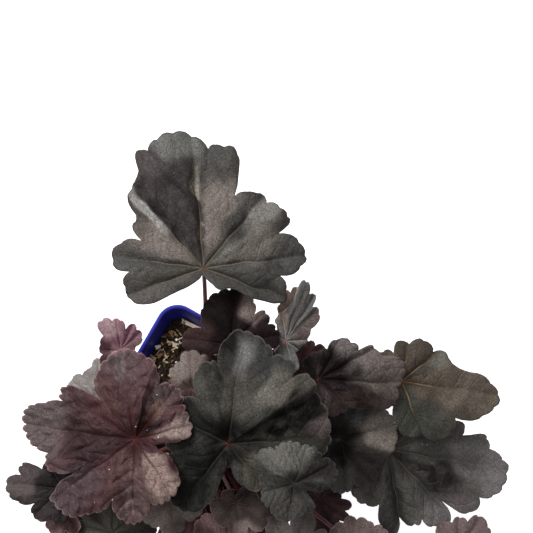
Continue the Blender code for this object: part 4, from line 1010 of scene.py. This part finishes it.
def fine_pot():
    """The nursery pot with rounded lip edges, a stepped rim band and drain holes."""
    under = POT_HEIGHT - RIM_DEPTH
    rim_half = RIM_SIDE / 2
    inside = rim_half - RIM_FACE
    profile = [
        (body_half(0) - 1.2, BASE_CORNER - 1.0, 0.0),
        (body_half(0) - 0.4, BASE_CORNER - 0.3, 0.25),
        (body_half(1.2), body_corner(1.2), 1.2),
    ]
    for k in range(1, 9):
        height = 1.2 + (under - 1.2) * k / 8
        profile.append((body_half(height), body_corner(height), height))
    profile += [
        (rim_half - 0.8, RIM_CORNER, under),
        (rim_half - 0.25, RIM_CORNER, under + 0.15),
        (rim_half, RIM_CORNER, under + 0.7),
        (rim_half, RIM_CORNER, POT_HEIGHT - 0.9),
        (rim_half - 0.15, RIM_CORNER - 0.1, POT_HEIGHT - 0.35),
        (rim_half - 0.5, RIM_CORNER - 0.3, POT_HEIGHT),
        (inside + 0.5, RIM_CORNER - 1.5, POT_HEIGHT),
        (inside + 0.12, RIM_CORNER - 1.8, POT_HEIGHT - 0.3),
        (inside, RIM_CORNER - RIM_FACE, POT_HEIGHT - 0.8),
    ]
    for k in range(0, 5):
        height = under - 4.0 + (FLOOR - under + 4.0) * k / 4
        profile.append((body_half(height) - WALL, body_corner(height) - WALL, height))
    bm = shell([square_ring(*row) for row in profile])
    bmesh.ops.recalc_face_normals(bm, faces=bm.faces)
    pot = bmesh_object("pot_fine", bm)
    pot.data.shade_smooth()
    pot.data.set_sharp_from_angle(angle=SHARP)
    for quarter in range(4):
        at = in_plan(45.0 + 90.0 * quarter, DRAIN_OFFSET * math.sqrt(2.0)) * MM
        bpy.ops.mesh.primitive_cylinder_add(vertices=40, radius=DRAIN_RADIUS * MM, depth=8 * MM, location=at)
        cutter = bpy.context.object
        cut = pot.modifiers.new("drain", "BOOLEAN")
        cut.object = cutter
        cut.solver = "EXACT"
        with bpy.context.temp_override(object=pot, active_object=pot):
            bpy.ops.object.modifier_apply(modifier=cut.name)
        bpy.data.objects.remove(cutter)
    s = Shader("pot_plastic")
    colour = s.lay((0.022, 0.028, 0.35), (0.030, 0.040, 0.43), s.span(s.noise(35.0, 3.0), 0.3, 0.7))
    colour = s.lay(colour, (0.10, 0.12, 0.50), s.span(s.noise(900.0, 4.0), 0.55, 0.75), 0.03)
    height = s.node("ShaderNodeSeparateXYZ", {0: s.place}).outputs["Z"]
    low = s.span(height, 0.002, 0.016, 1.0, 0.0)
    colour = s.lay(colour, (0.06, 0.045, 0.035), low, s.span(s.noise(260.0, 4.0), 0.45, 0.6), 0.22)
    s.bump(s.noise(1500.0, 2.0), 0.0001, 0.5)
    pot.data.materials.append(s.finish(colour, s.span(s.noise(300.0), 0.3, 0.7, 0.30, 0.42), 0.3))
    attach(pot, "root")
    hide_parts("pot")
    return pot


def mix_height(x, y):
    """Height of the potting mix's lumpy surface, mm."""
    lumps = noise.noise(Vector((x * 0.13, y * 0.13, 0.0))) * 1.6
    crumbs = noise.noise(Vector((x * 0.55, y * 0.55, 3.0))) * 0.9
    return SOIL_LEVEL - 0.3 + lumps + crumbs + noise.noise(Vector((x * 1.6, y * 1.6, 7.0))) * 0.35


def fine_soil():
    """Potting mix: a crumbly surface down to the pot's floor."""
    inset = WALL + GAP
    steps = (8, 16)
    floor = square_ring(body_half(FLOOR + GAP) - inset, body_corner(FLOOR) - inset, FLOOR + GAP, *steps)
    outer_half = body_half(SOIL_LEVEL) - inset
    outer = square_ring(outer_half, body_corner(SOIL_LEVEL) - inset, SOIL_LEVEL - 1.0, *steps)
    rings = [floor, outer]
    for k in range(1, SOIL_ROWS + 1):
        ring = []
        for p in outer:
            flat = Vector((p.x, p.y, 0.0))
            at = flat.lerp(flat.normalized() * (CROWN_RADIUS - 2.0), k / SOIL_ROWS)
            ring.append(Vector((at.x, at.y, mix_height(at.x, at.y))))
        rings.append(ring)
    soil = bmesh_object("soil_fine", shell(rings))
    soil.data.shade_smooth()
    s = Shader("mix_ground")
    grain = s.noise(700.0, 5.0, 0.7)
    colour = s.lay((0.005, 0.003, 0.002), (0.030, 0.020, 0.013), s.span(grain, 0.35, 0.65))
    colour = s.lay(colour, (0.20, 0.14, 0.08), s.span(s.noise(1100.0, 2.0), 0.66, 0.72), 0.6)
    s.bump(grain, 0.0012, 1.0)
    soil.data.materials.append(s.finish(colour, 0.9, 0.25))
    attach(soil, "root")
    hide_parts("soil")
    return soil


def flake(bm, tone_layer, at, size, turn, tone, draw):
    """One chip of bark: a jittered, tapered slab."""
    length, width, thick = size
    corners = []
    for sz in (-1, 1):
        for sx, sy in ((-1, -1), (1, -1), (1, 1), (-1, 1)):
            taper = 0.65 if sx > 0 else 1.0
            x = sx * length / 2 * draw.uniform(0.8, 1.1)
            y = sy * width / 2 * taper * draw.uniform(0.7, 1.15)
            z = sz * thick / 2 * draw.uniform(0.7, 1.2)
            corner = bm.verts.new((turn @ Vector((x, y, z)) + at) * MM)
            corner[tone_layer] = tone
            corners.append(corner)
    for face in ((0, 3, 2, 1), (4, 5, 6, 7), (0, 1, 5, 4), (1, 2, 6, 5), (2, 3, 7, 6), (3, 0, 4, 7)):
        bm.faces.new([corners[k] for k in face])


# Kinds of chip: share of the draws up to this kind, then the least and most length, width, thickness and tone
CHIP_KINDS = (
    (0.68, (1.4, 4.6), (0.8, 2.2), (0.4, 0.9), (0.0, 0.42)),
    (0.90, (2.0, 6.0), (0.8, 2.0), (0.3, 0.7), (0.55, 0.95)),
    (1.00, (3.0, 7.0), (0.3, 0.6), (0.25, 0.4), (0.6, 0.95)),
)

# Chips that show: place in the plan, size, heading, tone
PLACED_CHIPS = (
    (-8.0, 54.5, (11.0, 2.6, 0.9), -24.0, 0.95),
    (-25.0, 43.4, (2.8, 2.2, 1.4), 20.0, 1.0),
    (-27.5, 36.0, (5.0, 2.4, 1.0), 60.0, 0.85),
)

# Colours of chips and grit by tone
CHIP_TONES = (
    (0.0, (0.010, 0.007, 0.005)),
    (0.25, (0.040, 0.024, 0.012)),
    (0.45, (0.14, 0.082, 0.040)),
    (0.70, (0.42, 0.28, 0.15)),
    (0.92, (0.78, 0.60, 0.40)),
    (1.0, (0.92, 0.90, 0.84)),
)


def fine_chips():
    """Bark chips, straw slivers and white grit lying on the mix."""
    draw = random.Random(41)
    bm = bmesh.new()
    tone = bm.verts.layers.float.new("tone")
    half = body_half(SOIL_LEVEL) - WALL - GAP
    for _ in range(CHIP_DRAWS):
        x, y = draw.uniform(-half + 1.5, half - 1.5), draw.uniform(-half + 1.5, half - 1.5)
        into_x = max(0, abs(x) - half + CORNER_FROM)
        into_y = max(0, abs(y) - half + CORNER_FROM)
        if math.hypot(x, y) < CROWN_RADIUS or math.hypot(into_x, into_y) > CORNER_REACH:
            continue
        kind = draw.random()
        ranges = next(row[1:] for row in CHIP_KINDS if kind < row[0])
        *size, shade = [draw.uniform(*pair) for pair in ranges]
        turn = Matrix.Rotation(draw.uniform(0, 2 * math.pi), 3, "Z")
        turn = turn @ Matrix.Rotation(draw.gauss(0, 0.45), 3, "Y")
        turn = turn @ Matrix.Rotation(draw.gauss(0, 0.6), 3, "X")
        flake(bm, tone, Vector((x, y, mix_height(x, y) + 0.3)), size, turn, shade, draw)
    for px, py, size, heading, shade in PLACED_CHIPS:
        at = Matrix.Rotation(PLANT_TURN, 3, "Z") @ Vector((px, py, 0.0))
        at.z = mix_height(at.x, at.y) + 1.0
        turn = Matrix.Rotation(PLANT_TURN + math.radians(heading), 3, "Z") @ Matrix.Rotation(0.06, 3, "Y")
        flake(bm, tone, at, size, turn, shade, draw)
    for _ in range(GRIT_DRAWS):
        x, y = draw.uniform(-half + 3, half - 3), draw.uniform(-half + 3, half - 3)
        if math.hypot(x, y) < CROWN_RADIUS + 1:
            continue
        grit = bmesh.ops.create_icosphere(bm, subdivisions=1, radius=draw.uniform(0.35, 0.9) * MM)
        for v in grit["verts"]:
            v.co = v.co * draw.uniform(0.8, 1.15) + Vector((x, y, mix_height(x, y) + 0.5)) * MM
            v[tone] = 1.0
    bmesh.ops.recalc_face_normals(bm, faces=bm.faces)
    chips = bmesh_object("soil_chips", bm)
    s = Shader("mix_chips")
    ramp = s.node("ShaderNodeValToRGB", {0: s.known("tone")})
    stops = ramp.color_ramp.elements
    while len(stops) < len(CHIP_TONES):
        stops.new(0.5)
    for stop, (at, colour) in zip(stops, CHIP_TONES):
        stop.position = at
        stop.color = (*colour, 1.0)
    grain = s.noise(1300.0, 4.0, 0.65)
    colour = s.speckle(ramp.outputs["Color"], grain, 0.7, 0.2, 0.8)
    s.bump(grain, 0.0004, 0.8)
    chips.data.materials.append(s.finish(colour, 0.85, 0.3))
    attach(chips, "root")
    return chips


def fine_crown():
    """The woody crown: a scaly dome that the stalks rise from."""
    rings = []
    for tier in range(CROWN_TIERS):
        climb = math.radians(-40 + 127.0 * tier / (CROWN_TIERS - 1))
        ring = []
        for k in range(CROWN_SIDES):
            turn = 2 * math.pi * k / CROWN_SIDES
            flat = math.cos(climb)
            out = Vector((math.cos(turn) * flat, math.sin(turn) * flat, math.sin(climb)))
            rough = noise.noise(out * 5.0) * 0.8 + noise.noise(out * 14.0) * 0.4
            scale = abs(math.sin(turn * 8 + tier * 0.9)) * 0.4
            ring.append(Vector((0, 0, CROWN_CENTRE)) + out * (CROWN_RADIUS - 0.6 + rough * 0.6 + scale))
        rings.append(ring)
    crown = bmesh_object("crown_fine", shell(rings))
    crown.data.shade_smooth()
    s = Shader("crown_skin")
    grain = s.noise(500.0, 5.0, 0.65)
    colour = s.lay((0.03, 0.012, 0.008), (0.13, 0.065, 0.045), s.span(grain, 0.3, 0.7))
    s.bump(grain, 0.001, 1.0)
    crown.data.materials.append(s.finish(colour, 0.8, 0.3))
    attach(crown, "root")
    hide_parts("crown")
    return crown


# Studio lamps: name, place in the plan in mm, size in metres, watts
LAMPS = (
    ("key", (-520.0, 640.0, 960.0), 0.34, 10.6),
    ("top", (-120.0, 160.0, 1300.0), 0.9, 6.2),
)
LAMP_AIM = Vector((0.03, 0.015, 0.12))
SKY_STRENGTH = 0.13
FLOOR_GLOW = 0.90


def stage():
    """White floor, soft light from above and the camera over the plant."""
    bpy.ops.mesh.primitive_plane_add(size=40.0, location=(0, 0, -0.0005))
    floor = bpy.context.object
    floor.name = "floor"
    s = Shader("floor_white")
    s.put(s.surface.inputs["Emission Color"], (1.0, 1.0, 1.0))
    s.put(s.surface.inputs["Emission Strength"], FLOOR_GLOW)
    floor.data.materials.append(s.finish((0.86, 0.86, 0.86), 0.9, 0.2))

    turn = Matrix.Rotation(PLANT_TURN, 4, "Z")
    for name, at, size, power in LAMPS:
        data = bpy.data.lights.new(name, "AREA")
        data.size = size
        data.energy = power
        lamp = linked(name, data)
        place = turn @ (Vector(at) * MM)
        lamp.location = place
        lamp.rotation_euler = (LAMP_AIM - place).to_track_quat("-Z", "Y").to_euler()
    world = bpy.data.worlds.new("studio")
    world.use_nodes = True
    sky = world.node_tree.nodes["Background"].inputs
    sky["Color"].default_value = (1.0, 1.0, 1.0, 1.0)
    sky["Strength"].default_value = SKY_STRENGTH
    bpy.context.scene.world = world

    data = bpy.data.cameras.new("camera")
    data.lens = CAMERA_LENS
    data.sensor_width = 36.0
    camera = linked("camera", data)
    camera.matrix_world = turn @ Matrix.Translation(CAMERA_AT * MM) @ Matrix.Rotation(CAMERA_TILT, 4, "X")
    bpy.context.scene.camera = camera
    bpy.context.scene.view_settings.view_transform = "Standard"


def corners(pair):
    """The low and high corner of a box as lists that json can write."""
    return [list(pair[0]), list(pair[1])]


def main():
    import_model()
    stage()
    fine_pot()
    fine_soil()
    fine_chips()
    fine_crown()
    for item in LEAVES:
        made = fine_leaf(item)
        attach(made, "root")
        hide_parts(item["name"])
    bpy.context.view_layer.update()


main()
